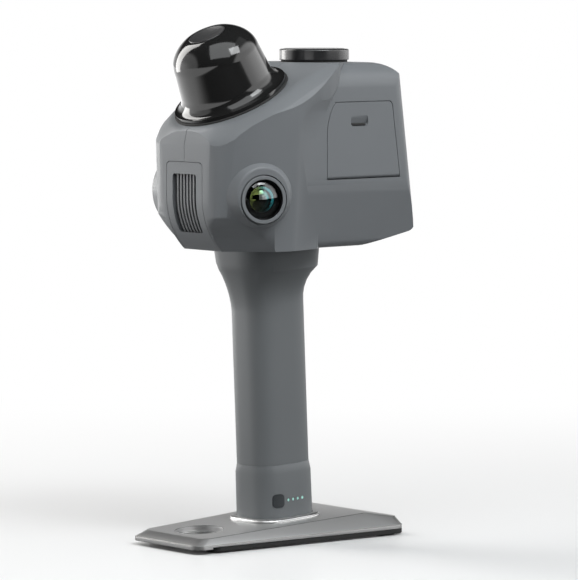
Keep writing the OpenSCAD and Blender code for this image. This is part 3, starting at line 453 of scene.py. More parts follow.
# The plate's rounded edges are coloured much darker than its faces: painted shade that dims the highlights
# they catch.
PLATE_EDGE = Finish("plate_metal_edge", srgb(124, 124, 123), 0.34, spread=0.03, metal=1.0,
                    grain_mm=0.28, bump=0.05, depth_mm=0.01, texture=Texture.BLAST)
RUBBER = Finish("soft_rubber", srgb(33, 35, 35), 0.68, spread=0.14, grain_mm=0.6, bump=0.25)
KEY = Finish("key_rubber", srgb(42, 46, 49), 0.5, spread=0.08, grain_mm=0.35, bump=0.12)
DARK = Finish("dark_plastic", srgb(38, 39, 40), 0.55, spread=0.1, grain_mm=0.45, bump=0.2,
              texture=Texture.BLAST)
WINDOW = Finish("window_black", srgb(5, 5, 6), 0.03, spread=0.2, rough_spread=0.015, specular=0.7,
                cloud_mm=18.0, bump=0.0)
SCREEN = Finish("screen_glass", srgb(16, 18, 21), 0.05, spread=0.2, rough_spread=0.03, cloud_mm=22.0,
                bump=0.0)
CROWN = Finish("crown_satin", srgb(52, 52, 53), 0.32, grain_mm=0.3, bump=0.06)
CAP = Finish("cap_satin", srgb(34, 34, 35), 0.3, spread=0.08, coat=0.3, grain_mm=0.3, bump=0.05)
BEZEL = Finish("bezel_anodised", srgb(62, 64, 66), 0.34, metal=0.6, grain_mm=0.3, bump=0.06)
FIN = Finish("fin_grey", srgb(96, 98, 100), 0.5)
BARREL = Finish("barrel_black", srgb(12, 12, 13), 0.6, spread=0.15, specular=0.1, grain_mm=0.3, bump=0.1)
GLASS = Finish("lens_front", srgb(246, 250, 249), 0.02, spread=0.01, rough_spread=0.008, specular=0.35,
               cloud_mm=9.0, bump=0.0, clear=1.0)
# The coating's turn from olive to teal across the element is a painted reflection: the colour shift that a
# coating shows with the angle of view.
COATING = Finish("lens_coating", srgb(74, 80, 42), 0.09, spread=0.1, rough_spread=0.02, metal=1.0,
                 cloud_mm=6.0, bump=0.0, fade=Fade(srgb(40, 116, 124), (0.0, 1.0, 0.0), (-44.0, -36.0)))
PUPIL = Finish("lens_pupil", srgb(7, 9, 14), 0.12, spread=0.3, rough_spread=0.04, coat=0.6, cloud_mm=5.0,
               bump=0.0)
BRIGHT = Finish("bright_metal", srgb(188, 188, 188), 0.32, spread=0.05, metal=1.0, grain_mm=0.5, bump=0.06,
                texture=Texture.BRUSHED)
STEEL = Finish("screw_steel", srgb(150, 151, 153), 0.3, metal=1.0, bump=0.06, texture=Texture.BRUSHED)
MIRROR = Finish("mirror_face", srgb(232, 232, 232), 0.03, spread=0.02, rough_spread=0.02, metal=1.0, bump=0.0)
BRASS = Finish("warm_brass", srgb(190, 158, 92), 0.32, spread=0.08, metal=1.0, bump=0.06)
BOARD = Finish("board_green", srgb(22, 74, 46), 0.42, spread=0.35, grain_mm=3.2, bump=0.0,
               texture=Texture.TRACES)
WRAP = Finish("cell_wrap", srgb(46, 92, 150), 0.25, spread=0.08, coat=0.4, grain_mm=0.8, bump=0.05)
LIGHT = Finish("light_pipe", srgb(150, 226, 214), 0.25, spread=0.05, bump=0.0, glow=0.55)

SLOT_FINISH = {
    "shell_paint": SHELL, "grip_paint": GRIP, "plate_metal": PLATE, "soft_rubber": RUBBER,
    "dark_plastic": DARK, "window_black": WINDOW, "cap_black": CAP, "lens_glass": GLASS,
    "bezel_metal": BEZEL, "bright_metal": BRIGHT, "screw_steel": STEEL, "mirror_face": MIRROR,
    "warm_brass": BRASS, "board_green": BOARD, "cell_wrap": WRAP, "light_pipe": LIGHT,
}
NODE_FINISH = {
    "camera_barrel_right": BARREL, "camera_barrel_left": BARREL, "display_glass": SCREEN, "vent_fins": FIN,
}


@dataclass(frozen=True)
class Zone:
    """A box on both sides of the middle plane, in millimetres of the shared frame."""

    across: tuple[float, float]
    along: tuple[float, float]
    height: tuple[float, float]

    def holds(self, mesh: bpy.types.Mesh, edge: bpy.types.MeshEdge) -> bool:
        """Tells whether both ends of an edge lie in the box.

        Args:
            mesh: The edge's mesh.
            edge: The edge.

        Returns:
            True if both lie inside.
        """
        for corner in edge.vertices:
            place = mesh.vertices[corner].co / MM
            limits = ((abs(place.x), self.across), (place.y, self.along), (place.z, self.height))
            if not all(low <= value <= high for value, (low, high) in limits):
                return False
        return True


class Bench:
    """Modelling steps that the sub-assemblies share."""

    @staticmethod
    def alone(piece: bpy.types.Object) -> None:
        """Selects one object and makes it active."""
        bpy.ops.object.select_all(action="DESELECT")
        piece.select_set(True)
        bpy.context.view_layer.objects.active = piece

    @staticmethod
    def coat(piece: bpy.types.Object, *finishes: Finish) -> None:
        """Gives a piece the materials of its finishes, in order."""
        piece.data.materials.clear()
        for finish in finishes:
            piece.data.materials.append(finish.material())

    @staticmethod
    def keep(piece: bpy.types.Object, body: str, slot: str, *nodes: str) -> None:
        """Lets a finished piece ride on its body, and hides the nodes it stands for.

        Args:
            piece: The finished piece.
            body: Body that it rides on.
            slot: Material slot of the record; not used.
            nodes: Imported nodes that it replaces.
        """
        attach(piece, body)
        if nodes:
            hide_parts(*nodes)
        LOG.info("piece %s rides on %s", piece.name, body)

    @classmethod
    def softened(cls, frame: dict, node: str, width: float, *finishes: Finish, steps: int = 2,
                 blend: Zone | None = None) -> bpy.types.Object:
        """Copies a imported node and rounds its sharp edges.

        Args:
            node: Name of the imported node.
            width: Width of the rounding in millimetres.
            finishes: Finish of the faces, and of the rounded edges if it differs.
            steps: Segments across the rounding.
            blend: Where edges are shaded over instead.

        Returns:
            The new piece, in the node's place.
        """
        piece = bpy.data.objects.new(f"soft_{node}", frame["nodes"][node].data.copy())
        bpy.context.scene.collection.objects.link(piece)
        cls.alone(piece)
        if piece.data.has_custom_normals:
            bpy.ops.mesh.customdata_custom_splitnormals_clear()
        cls.coat(piece, *finishes)
        bpy.ops.object.mode_set(mode="EDIT")
        bpy.ops.mesh.select_all(action="SELECT")
        bpy.ops.mesh.remove_doubles(threshold=COPY_MERGE)
        bpy.ops.mesh.dissolve_limited(angle_limit=FLAT_ANGLE)
        bpy.ops.object.mode_set(mode="OBJECT")
        for face in piece.data.polygons:
            face.material_index = 0
        cls.weigh_edges(piece, blend)
        bevel = piece.modifiers.new("round_edges", "BEVEL")
        bevel.width = width * MM
        bevel.segments = steps
        bevel.limit_method = "WEIGHT"
        bevel.material = len(finishes) - 1
        bevel.use_clamp_overlap = True
        bpy.ops.object.modifier_apply(modifier=bevel.name)
        bpy.ops.object.shade_smooth_by_angle(angle=COPY_SMOOTH)
        if blend:
            sharp = piece.data.attributes["sharp_edge"]
            for edge in piece.data.edges:
                if blend.holds(piece.data, edge):
                    sharp.data[edge.index].value = False
        even = piece.modifiers.new("even_shading", "WEIGHTED_NORMAL")
        even.weight = FACE_WEIGHT
        even.keep_sharp = True
        bpy.ops.object.modifier_apply(modifier=even.name)
        return piece

    @staticmethod
    def weigh_edges(piece: bpy.types.Object, blend: Zone | None) -> None:
        """Marks the sharp edges of a piece for rounding, and goes back to selecting by points.

        Args:
            piece: The piece, selected alone.
            blend: Where no edge is marked.
        """
        bpy.ops.object.mode_set(mode="EDIT")
        bpy.ops.mesh.select_mode(type="EDGE")
        bpy.ops.mesh.select_all(action="DESELECT")
        bpy.ops.mesh.edges_select_sharp(sharpness=EDGE_ANGLE)
        bpy.ops.object.mode_set(mode="OBJECT")
        weight = piece.data.attributes.new("bevel_weight_edge", "FLOAT", "EDGE")
        for edge in piece.data.edges:
            if edge.select and not (blend and blend.holds(piece.data, edge)):
                weight.data[edge.index].value = 1.0
        bpy.context.tool_settings.mesh_select_mode = (True, False, False)

    @classmethod
    def spun(cls, name: str, profile: Profile, place: Matrix, finish: Finish,
             steps: int = SPIN_STEPS) -> bpy.types.Object:
        """Spins a profile into a round piece.

        Args:
            name: Name of the piece.
            profile: Radius and height of each point in millimetres, from one end to the other.
            place: Where the piece's own axis stands.
            finish: Its finish.
            steps: Steps round the turn.

        Returns:
            The new piece.
        """
        bpy.ops.object.select_all(action="DESELECT")
        bpy.ops.mesh.primitive_plane_add(size=2 * MM, location=ORIGIN)
        piece = bpy.context.object
        piece.name = name
        bpy.ops.object.mode_set(mode="EDIT")
        bpy.ops.mesh.select_all(action="SELECT")
        bpy.ops.mesh.merge(type="CENTER")
        last = Vector(ORIGIN)
        for number, (radius, height) in enumerate(profile):
            goal = Vector((radius * MM, 0.0, height * MM))
            if number == 0:
                bpy.ops.transform.translate(value=goal - last)
            else:
                bpy.ops.mesh.extrude_region_move(TRANSFORM_OT_translate={"value": goal - last})
            last = goal
        bpy.ops.mesh.select_all(action="SELECT")
        bpy.ops.mesh.spin(steps=steps, angle=2 * math.pi, center=ORIGIN, axis=(0.0, 0.0, 1.0))
        bpy.ops.mesh.select_all(action="SELECT")
        bpy.ops.mesh.remove_doubles(threshold=SPIN_MERGE)
        bpy.ops.mesh.normals_make_consistent(inside=False)
        bpy.ops.object.mode_set(mode="OBJECT")
        cls.settle(piece, place)
        cls.coat(piece, finish)
        bpy.ops.object.shade_smooth_by_angle(angle=NEW_SMOOTH)
        return piece

    @classmethod
    def settle(cls, piece: bpy.types.Object, place: Matrix) -> None:
        """Moves a piece to its place and leaves that in its mesh.

        Args:
            piece: The piece, made round the origin.
            place: Its place.
        """
        cls.alone(piece)
        piece.matrix_world = place
        bpy.ops.object.transform_apply(location=True, rotation=True, scale=True)
        if place.determinant() < 0:
            bpy.ops.object.mode_set(mode="EDIT")
            bpy.ops.mesh.select_all(action="SELECT")
            bpy.ops.mesh.normals_make_consistent(inside=False)
            bpy.ops.object.mode_set(mode="OBJECT")


def rounded(centre: tuple[float, float], radius: float, start: float, end: float, count: int) -> Profile:
    """Gives points along an arc.

    Args:
        centre: Middle of the arc in millimetres.
        radius: Its radius.
        start: First angle in degrees.
        end: Last angle in degrees.
        count: Number of steps.

    Returns:
        The points, both ends included.
    """
    points = []
    for number in range(count + 1):
        turn = math.radians(start + (end - start) * number / count)
        points.append((centre[0] + radius * math.cos(turn), centre[1] + radius * math.sin(turn)))
    return points


@dataclass
class Datum:
    """Shift between the drawing's grip axis and the model's origin, in millimetres."""

    shift_y: float = 2.75547

    def at(self, x: float, y: float, z: float) -> Vector:
        """Returns a point of the drawing in metres."""
        return Vector((x, y + self.shift_y, z)) * MM


@dataclass
class StandPlate:
    """Metal plate that the grip stands on, with its pad."""

    edge: float = 0.5
    pad_edge: float = 0.35

    def dress(self, frame: dict) -> None:
        """Rounds and finishes the plate and its pad."""
        plate = Bench.softened(frame, "base_plate", self.edge, PLATE, PLATE_EDGE)
        Bench.keep(plate, "scanner", "plate_metal", "base_plate")
        pad = Bench.softened(frame, "base_pad", self.pad_edge, RUBBER)
        Bench.keep(pad, "scanner", "soft_rubber", "base_pad")


@dataclass
class Grip:
    """Battery grip with its foot and button."""

    edge: float = 0.5
    key_edge: float = 0.45
    key_steps: int = 3

    def dress(self, frame: dict) -> None:
        """Rounds and finishes the grip, its foot and the button."""
        for node in ("grip_shell", "grip_foot"):
            piece = Bench.softened(frame, node, self.edge, GRIP, GRIP_EDGE)
            Bench.keep(piece, "scanner", "grip_paint", node)
        key = Bench.softened(frame, "power_button", self.key_edge, KEY, steps=self.key_steps)
        Bench.keep(key, "button", "soft_rubber", "power_button")


@dataclass
class Head:
    """Head shells with the vent strip and the hinged cover."""

    datum: Datum
    edge: float = 0.6
    cover_edge: float = 0.25
    corner: Zone = Zone((17.0, 50.0), (-66.0, -8.0), (167.6, 194.0))
    notch_shadow_size: tuple[float, float, float] = (1.0, 10.6, 1.5)
    notch_shadow_place: tuple[float, float, float] = (38.85, 29.0, 236.35)
    notch_shadow_edge: float = 0.45
    notch_shadow_steps: int = 3

    def dress(self, frame: dict) -> None:
        """Rounds and finishes the head's outer pieces."""
        for node in ("head_shell_right", "head_shell_left"):
            piece = Bench.softened(frame, node, self.edge, SHELL, SHELL_EDGE, blend=self.corner)
            Bench.keep(piece, "scanner", "shell_paint", node)
        strip = Bench.softened(frame, "vent_bezel", self.cover_edge, SHELL, SHELL_EDGE)
        Bench.keep(strip, "scanner", "shell_paint", "vent_bezel")
        cover = Bench.softened(frame, "side_cover", self.cover_edge, SHELL, SHELL_EDGE)
        Bench.keep(cover, "cover", "shell_paint", "side_cover")
        # The cover notch's dark bottom is painted shade, given by a dark strip.
        self.build_painted_notch_shadow()

    def build_painted_notch_shadow(self) -> None:
        """Builds a dark strip at the bottom of the cover's notch: painted shade, standing where the notch's
        bottom lies in shadow.
        """
        bpy.ops.object.select_all(action="DESELECT")
        bpy.ops.mesh.primitive_cube_add(size=1.0, location=ORIGIN)
        strip = bpy.context.object
        strip.name = "notch_painted_shadow"
        strip.scale = Vector(self.notch_shadow_size) * MM
        bpy.ops.object.transform_apply(location=False, rotation=False, scale=True)
        bpy.ops.object.mode_set(mode="EDIT")
        bpy.ops.mesh.select_all(action="SELECT")
        bpy.ops.mesh.bevel(offset=self.notch_shadow_edge * MM, segments=self.notch_shadow_steps, affect="EDGES")
        bpy.ops.object.mode_set(mode="OBJECT")
        Bench.settle(strip, Matrix.Translation(self.datum.at(*self.notch_shadow_place)))
        Bench.coat(strip, RUBBER)
        bpy.ops.object.shade_smooth_by_angle(angle=NEW_SMOOTH)
        Bench.keep(strip, "cover", "soft_rubber")


@dataclass
class RoomSensor:
    """Bell-shaped window on the tilted deck, with its crown and gasket."""

    datum: Datum
    tilt: float = 26.6
    y: float = -32.0
    z: float = 251.52486
    flange_r: float = 32.8
    flange_w: float = 6.0
    flange_edge: float = 0.2
    window_r: float = 25.1
    window_h: float = 39.2
    window_steps: int = 160
    shoulder_h: float = 15.5
    shoulder_power: float = 1.5
    shoulder_steps: int = 24
    skirt_gap: float = 1.6
    skirt_top: float = 10.0
    skirt_h: float = 8.0
    skirt_steps: int = 16
    crown_r: float = 12.2
    crown_rim: float = 1.4
    crown_gap: float = 0.15
    crown_t: float = 1.2
    crown_sink: float = 0.05
    bead_h: float = 0.2
    bead_reach: tuple[float, float, float] = (0.25, 0.9, 1.2)
    wall: float = 1.6
    gasket_t: float = 1.0
    gasket_w: float = 2.6
    gasket_out: float = 1.0
    gasket_edge: float = 0.45
    gasket_edge_steps: int = 4
    gasket_steps: int = 128

    def place(self) -> Matrix:
        """Returns the sensor's own frame."""
        turn = Matrix.Rotation(math.radians(self.tilt), 4, "X")
        return Matrix.Translation(self.datum.at(0.0, self.y, self.z)) @ turn

    def bell(self, inset: float) -> Profile:
        """Gives the window's profile.

        Args:
            inset: Distance inside the outer face in millimetres.

        Returns:
            Points from the crown's rim down to the flange.
        """
        shoulder = self.window_h - self.shoulder_h
        top_r = self.crown_r - inset * 0.5
        reach = self.window_r - inset - top_r
        points = []
        for number in range(self.shoulder_steps + 1):
            turn = math.radians(90 * number / self.shoulder_steps)
            points.append((top_r + reach * math.sin(turn) ** self.shoulder_power,
                           shoulder + (self.window_h - inset - shoulder) * math.cos(turn)))
        low_r = self.window_r + self.skirt_gap - inset
        for number in range(self.skirt_steps + 1):
            turn = math.radians(90 * number / self.skirt_steps)
            points.append((low_r + (self.flange_r - inset - low_r) * (1 - math.cos(turn)),
                           self.skirt_top - self.skirt_h * math.sin(turn)))
        return points

    def build(self) -> None:
        """Builds the window, its crown and its gasket."""
        self.build_window()
        self.build_crown()
        self.build_gasket()

    def build_window(self) -> None:
        """Builds the window as one closed wall with an open crown."""
        lift = self.gasket_t
        mouth = self.flange_r - self.flange_w
        rim = self.crown_r - self.crown_rim
        outer = [(r, h + lift) for r, h in self.bell(0.0)]
        inner = [(min(r, mouth), h + lift) for r, h in reversed(self.bell(self.wall))]
        profile = [(rim, self.window_h + lift)] + outer
        profile += [(self.flange_r, lift + self.flange_edge), (self.flange_r - self.flange_edge, lift)]
        profile += [(mouth, lift)]
        profile += inner + [(rim, self.window_h - self.wall + lift), (rim, self.window_h + lift)]
        window = Bench.spun("sensor_bell", profile, self.place(), WINDOW, self.window_steps)
        Bench.keep(window, "scanner", "window_black", "sensor_window")

    def build_crown(self) -> None:
        """Builds the flat crown with a raised bead near its edge."""
        top = self.window_h + self.gasket_t
        edge = self.crown_r - self.crown_rim - self.crown_gap
        outer, middle, inner = (edge - reach for reach in self.bead_reach)
        disc = [(0.0, top - self.crown_t), (edge, top - self.crown_t), (edge, top - self.crown_sink),
                (outer, top + self.bead_h), (middle, top + self.bead_h), (inner, top + self.crown_sink),
                (0.0, top + self.crown_sink)]
        crown = Bench.spun("sensor_crown_disc", disc, self.place(), CROWN)
        Bench.keep(crown, "scanner", "cap_black", "sensor_crown")

    def build_gasket(self) -> None:
        """Builds the gasket that shows as a line round the flange."""
        inside = self.flange_r - self.gasket_w
        outside = self.flange_r + self.gasket_out
        middle = (outside - self.gasket_edge, self.gasket_t - self.gasket_edge)
        seal = [(inside, 0.0), (outside, 0.0)]
        seal += rounded(middle, self.gasket_edge, 0, 90, self.gasket_edge_steps)
        seal += [(inside, self.gasket_t), (inside, 0.0)]
        gasket = Bench.spun("sensor_seal", seal, self.place(), RUBBER, self.gasket_steps)
        Bench.keep(gasket, "scanner", "soft_rubber", "sensor_gasket")


@dataclass
class SideCamera:
    """Camera on one side of the head: bezel, front glass, and the ring, element and pupil behind it."""

    datum: Datum
    side: Side
    x: float = 37.7118
    y: float = -43.0
    z: float = 196.6
    yaw: float = 18.0
    boss_h: float = 5.0
    bezel_edge: float = 0.25
    glass_r: float = 11.0
    glass_t: float = 2.5
    glass_sink: float = 1.0
    glass_dome: float = 1.6
    glass_curve: tuple[float, float] = (24.0, 22.6)
    glass_wall: float = 0.9
    glass_lip: float = 0.5
    glass_foot: float = 0.2
    ring_gap: float = 0.6
    ring_r: tuple[float, float] = (7.2, 7.4)
    ring_h: tuple[float, float, float, float] = (0.3, 0.6, 0.35, 0.1)
    element_r: float = 7.1
    element_curve: float = 9.0
    element_h: float = 2.1
    element_bore: float = 2.6
    pupil_r: float = 3.1
    pupil_curve: float = 5.0
    pupil_h: float = 2.35
    pupil_foot: float = 1.2
    pupil_steps: int = 64
    cap_steps: int = 16

    @property
    def label(self) -> str:
        """Returns right or left."""
        return self.side.name.lower()

    @property
    def base(self) -> float:
        """Returns the height of the glass's seat over the boss's foot."""
        return self.boss_h - self.glass_t - self.glass_sink

    def place(self) -> Matrix:
        """Returns the camera's own frame, with Z along its axis."""
        turn = Matrix.Rotation(math.radians(-self.yaw), 4, "Z") @ Matrix.Rotation(math.radians(90), 4, "Y")
        right = Matrix.Translation(self.datum.at(self.x, self.y, self.z)) @ turn
        return Matrix.Scale(self.side.value, 4, Vector((1.0, 0.0, 0.0))) @ right

    def cap(self, edge: float, radius: float, top: float) -> Profile:
        """Gives the profile of a domed face.

        Args:
            edge: Distance from the axis to its edge in millimetres.
            radius: Radius of its curve.
            top: Height of its middle.

        Returns:
            Points from the middle to the edge.
        """
        points = []
        for number in range(self.cap_steps + 1):
            reach = edge * number / self.cap_steps
            points.append((reach, top - radius + math.sqrt(radius ** 2 - reach ** 2)))
        return points

    def build(self, frame: dict) -> None:
        """Builds the front glass and what shows behind it, and rounds the bezel."""
        self.build_glass()
        self.build_ring()
        self.build_element()
        bezel = Bench.softened(frame, f"camera_bezel_{self.label}", self.bezel_edge, SHELL, SHELL_EDGE)
        Bench.keep(bezel, "scanner", "shell_paint", f"camera_bezel_{self.label}")

    def build_glass(self) -> None:
        """Builds the domed front glass."""
        top = self.base + (self.glass_t + self.glass_dome)
        foot = self.base + self.glass_foot
        inside = self.glass_r - self.glass_lip
        outer = self.cap(self.glass_r, self.glass_curve[0], top)
        inner = self.cap(inside, self.glass_curve[1], top - self.glass_wall)
        profile = outer + [(self.glass_r, foot), (inside, foot)] + inner[::-1]
        glass = Bench.spun(f"lens_{self.label}", profile, self.place(), GLASS)
        Bench.keep(glass, "scanner", "lens_glass", f"camera_glass_{self.label}")

    def build_ring(self) -> None:
        """Builds the dark ring that slopes in from the glass to the coated element."""
        outside = self.glass_r - self.ring_gap
        inside, slope = self.ring_r
        side, rim, lip, edge = (self.base + height for height in self.ring_h)
        funnel = [(outside, side), (outside, rim), (slope, lip), (inside, edge), (inside, self.base),
                  (outside, self.base), (outside, side)]
        ring = Bench.spun(f"lens_ring_{self.label}", funnel, self.place(), BARREL)
        Bench.keep(ring, "scanner", "dark_plastic")

    def build_element(self) -> None:
        """Builds the coated element and the dark pupil in its middle."""
        front = self.cap(self.element_r, self.element_curve, self.base + self.element_h)
        front += [(self.element_r, self.base), (self.element_bore, self.base)]
        element = Bench.spun(f"lens_element_{self.label}", front, self.place(), COATING)
        Bench.keep(element, "scanner", "lens_glass")
        foot = self.base + self.pupil_foot
        pupil = self.cap(self.pupil_r, self.pupil_curve, self.base + self.pupil_h)
        pupil += [(self.pupil_r, foot), (0.0, foot)]
        iris = Bench.spun(f"lens_pupil_{self.label}", pupil, self.place(), PUPIL, self.pupil_steps)
        Bench.keep(iris, "scanner", "lens_glass")


@dataclass
class TopCap:
    """Push-on cap on the top."""

    edge: float = 0.35
    steps: int = 3

    def dress(self, frame: dict) -> None:
        """Rounds and finishes the cap."""
        cap = Bench.softened(frame, "top_cap", self.edge, CAP, steps=self.steps)
        Bench.keep(cap, "cap", "cap_black", "top_cap")


def dress_nodes(frame: dict) -> None:
    """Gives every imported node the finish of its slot, or its own where it has one.
    """
    for part in frame["record"]["subparts"]:
        finish = NODE_FINISH.get(part["node"], SLOT_FINISH[part["material_slot"]])
        Bench.coat(frame["nodes"][part["node"]], finish)


@dataclass(frozen=True)
class Panel:
    """One soft lamp, placed in metres to the right, up and towards the camera."""

    name: str
    place: tuple[float, float, float]
    size: tuple[float, float]
    power: float
    tint: Colour
    mirrored: bool = True


WARM = (1.0, 0.985, 0.965)
COOL = (0.965, 0.99, 1.0)
PANELS = (
    Panel("left_rear_panel", (-1.1, 0.85, -0.7), (0.6, 1.7), 22.0, WARM),
    Panel("left_low_panel", (-1.0, 0.12, 0.0), (0.9, 0.2), 3.4, WARM, mirrored=False),
    Panel("right_front_panel", (0.7, 1.2, 0.7), (0.6, 0.6), 11.0, COOL),
    Panel("right_low_panel", (0.8, 0.3, 0.9), (0.5, 0.5), 1.6, COOL, mirrored=False),
    Panel("right_high_panel", (0.9, 1.3, 0.0), (0.9, 0.9), 0.8, COOL),
    Panel("top_front_panel", (0.0, 1.3, 0.8), (1.3, 1.3), 14.5, COOL),
)


@dataclass
class Studio:
    """Floor, lights, surround and camera."""

    datum: Datum
    azimuth: float = 48.87
    elevation: float = 4.7
    focal_px: float = 3838.0
    depth: float = 2.1994
    origin_px: tuple[float, float] = (274.6, 536.1)
    frame_px: tuple[int, int] = (578, 580)
    film_mm: float = 36.0
    sight: float = 50.0
    target: Vector = field(default_factory=lambda: Vector((0.0, 0.0, 0.17)))
    floor_size: float = 60.0
    floor_pale: float = 0.79
    floor_rough: float = 0.35
    floor_specular: float = 0.3
    floor_lit: float = 0.22
    floor_mirrored: float = 0.05
    floor_white: Limits = (0.3, 0.9)
    floor_rear: Limits = (-0.1, 0.7)
    floor_left: Limits = (0.24, 0.42)
    sky_rear: Limits = (-0.35, 0.25)
    sky_low: Limits = (-0.36, -0.1)
    sky_right: Limits = (0.62, 0.74)
    sky_left: Limits = (0.78, 0.86)
    sky_left_share: float = 0.5
    sky_sides: float = 2.2
    sky_dim: float = 0.95

    def axes(self) -> tuple[Vector, Vector, Vector]:
        """Returns the camera's right, up and backward axes."""
        turn = math.radians(self.azimuth)
        lift = math.radians(self.elevation)
        right = Vector((math.cos(turn), math.sin(turn), 0.0))
        back = Vector((math.sin(turn) * math.cos(lift), -math.cos(turn) * math.cos(lift), math.sin(lift)))
        return right, back.cross(right), back

    def build_camera(self) -> None:
        """Adds the camera at the photograph's place."""
        right, rise, back = self.axes()
        across = (self.origin_px[0] - self.frame_px[0] / 2) / self.focal_px
        down = (self.origin_px[1] - self.frame_px[1] / 2) / self.focal_px
        place = self.depth * (back - across * right + down * rise) + self.datum.at(0.0, 0.0, 0.0)
        bpy.ops.object.camera_add(location=place)
        camera = bpy.context.object
        turn = Matrix((right, rise, back)).transposed()
        camera.rotation_euler = turn.to_euler()
        camera.data.sensor_fit = "VERTICAL"
        camera.data.sensor_height = self.film_mm
        camera.data.lens = self.focal_px * self.film_mm / self.frame_px[1]
        camera.data.clip_end = self.sight
        bpy.context.scene.camera = camera

    def build_floor(self) -> None:
        """Adds the floor."""
        bpy.ops.object.select_all(action="DESELECT")
        bpy.ops.mesh.primitive_plane_add(size=self.floor_size, location=ORIGIN)
        floor = bpy.context.object
        floor.name = "floor"
        floor.data.materials.append(self.floor_material())

    def floor_material(self) -> bpy.types.Material:
        """Makes the floor's material.

        It is pale near the object, where the shadow falls, and plain white far away and behind. Mirrors and
        glass see the white behind too, and mirrors a brighter one on the left.

        Returns:
            The material.
        """
        mat = bpy.data.materials.new("floor_white")
        mat.use_nodes = True
        tree = mat.node_tree
        path = tree.nodes.new("ShaderNodeLightPath").outputs
        place = tree.nodes.new("ShaderNodeTexCoord").outputs["Object"]
        right, _, back = self.axes()
        behind = Steps.ramp(tree, place, Vector((-back.x, -back.y, 0.0)), self.floor_rear)
        left = Steps.ramp(tree, place, -right, self.floor_left)
        bright = Steps.combine(tree, "MULTIPLY", left, path["Is Glossy Ray"])
        sight = Steps.combine(tree, "ADD", path["Is Camera Ray"], path["Is Glossy Ray"])
        sight = Steps.combine(tree, "ADD", sight, path["Is Transmission Ray"], clamp=True)
        far = Steps.combine(tree, "MULTIPLY", Steps.combine(tree, "MAXIMUM", behind, bright), sight)
        away = tree.nodes.new("ShaderNodeVectorMath")
        away.operation = "LENGTH"
        tree.links.new(place, away.inputs[0])
        round_about = Steps.smooth(tree, away.outputs["Value"], self.floor_white)
        round_about = Steps.combine(tree, "MULTIPLY", round_about, path["Is Camera Ray"])
        white = tree.nodes.new("ShaderNodeEmission")
        tree.links.new(Steps.combine(tree, "ADD", bright, 1.0), white.inputs["Strength"])
        share = Steps.combine(tree, "MAXIMUM", far, round_about)
        surface = Steps.mixed(tree, share, self.floor_surface(tree), white.outputs["Emission"])
        tree.links.new(surface, tree.nodes["Material Output"].inputs["Surface"])
        return mat

    def floor_surface(self, tree: Tree) -> Socket:
        """Adds the floor's own surface: pale to the camera, dimmer to light and mirrors.

        Args:
            tree: The material's node tree.

        Returns:
            The shader.
        """
        path = tree.nodes.new("ShaderNodeLightPath").outputs
        pale = tree.nodes["Principled BSDF"]
        pale.inputs["Base Color"].default_value = grey(self.floor_pale)
        pale.inputs["Roughness"].default_value = self.floor_rough
        pale.inputs["Specular IOR Level"].default_value = self.floor_specular
        shade = tree.nodes.new("ShaderNodeMix")
        shade.data_type = "RGBA"
        shade.inputs["A"].default_value = grey(self.floor_lit)
        shade.inputs["B"].default_value = grey(self.floor_mirrored)
        tree.links.new(path["Is Glossy Ray"], shade.inputs["Factor"])
        dim = tree.nodes.new("ShaderNodeBsdfDiffuse")
        tree.links.new(shade.outputs["Result"], dim.inputs["Color"])
        return Steps.mixed(tree, path["Is Camera Ray"], dim.outputs["BSDF"], pale.outputs["BSDF"])

    def build_lights(self) -> None:
        """Adds soft panels round the object."""
        right, _, back = self.axes()
        up = Vector((0.0, 0.0, 1.0))
        for panel in PANELS:
            place = up * panel.place[1] + right * panel.place[0] + back * panel.place[2]
            bpy.ops.object.light_add(type="AREA", location=place)
            lamp = bpy.context.object
            lamp.name = panel.name
            lamp.data.shape = "RECTANGLE"
            lamp.data.size = panel.size[0]
            lamp.data.size_y = panel.size[1]
            lamp.data.energy = panel.power
            lamp.data.color = panel.tint
            lamp.visible_glossy = panel.mirrored
            lamp.rotation_euler = (place - self.target).to_track_quat("Z", "Y").to_euler()

    def build_world(self) -> None:
        """Sets a white surround that lights little. Mirrors see it low behind the object and at the sides."""
        world = bpy.data.worlds.new("surround")
        world.use_nodes = True
        tree = world.node_tree
        path = tree.nodes.new("ShaderNodeLightPath").outputs
        way = tree.nodes.new("ShaderNodeTexCoord").outputs["Generated"]
        right, _, back = self.axes()
        behind = Steps.ramp(tree, way, -back, self.sky_rear)
        low = Steps.ramp(tree, way, Vector((0.0, 0.0, -1.0)), self.sky_low)
        rear = Steps.combine(tree, "MULTIPLY", behind, low)
        beside = Steps.ramp(tree, way, right, self.sky_right)
        opposite = Steps.ramp(tree, way, -right, self.sky_left)
        sides = Steps.combine(tree, "MULTIPLY_ADD", opposite, self.sky_left_share, beside)
        glow = Steps.combine(tree, "MULTIPLY_ADD", sides, self.sky_sides, rear)
        scattered = Steps.combine(tree, "MINIMUM", path["Diffuse Depth"], 1.0)
        dim = Steps.combine(tree, "MULTIPLY_ADD", scattered, -self.sky_dim, 1.0)
        level = Steps.combine(tree, "MULTIPLY", glow, dim)
        white = Steps.combine(tree, "MAXIMUM", level, path["Is Camera Ray"])
        sky = tree.nodes["Background"]
        sky.inputs["Color"].default_value = grey(1.0)
        tree.links.new(white, sky.inputs["Strength"])
        bpy.context.scene.world = world

    def build(self) -> None:
        """Builds the whole stage."""
        self.build_camera()
        self.build_floor()
        self.build_lights()
        self.build_world()
        bpy.context.scene.view_settings.view_transform = "Standard"


def main() -> None:
    """Builds the scene."""
    logging.basicConfig(level=logging.INFO)
    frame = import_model()
    datum = Datum()
    dress_nodes(frame)
    StandPlate().dress(frame)
    Grip().dress(frame)
    Head(datum).dress(frame)
    RoomSensor(datum).build()
    for side in Side:
        SideCamera(datum, side).build(frame)
    TopCap().dress(frame)
    Studio(datum).build()


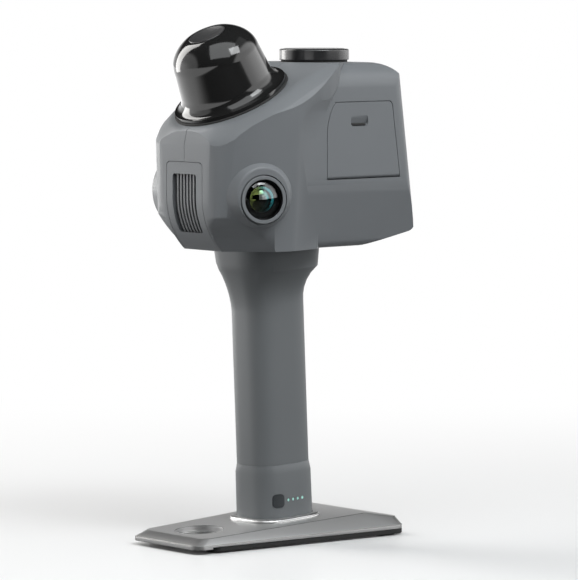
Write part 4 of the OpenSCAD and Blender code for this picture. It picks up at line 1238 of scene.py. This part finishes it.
if __name__ == "__main__":
    main()
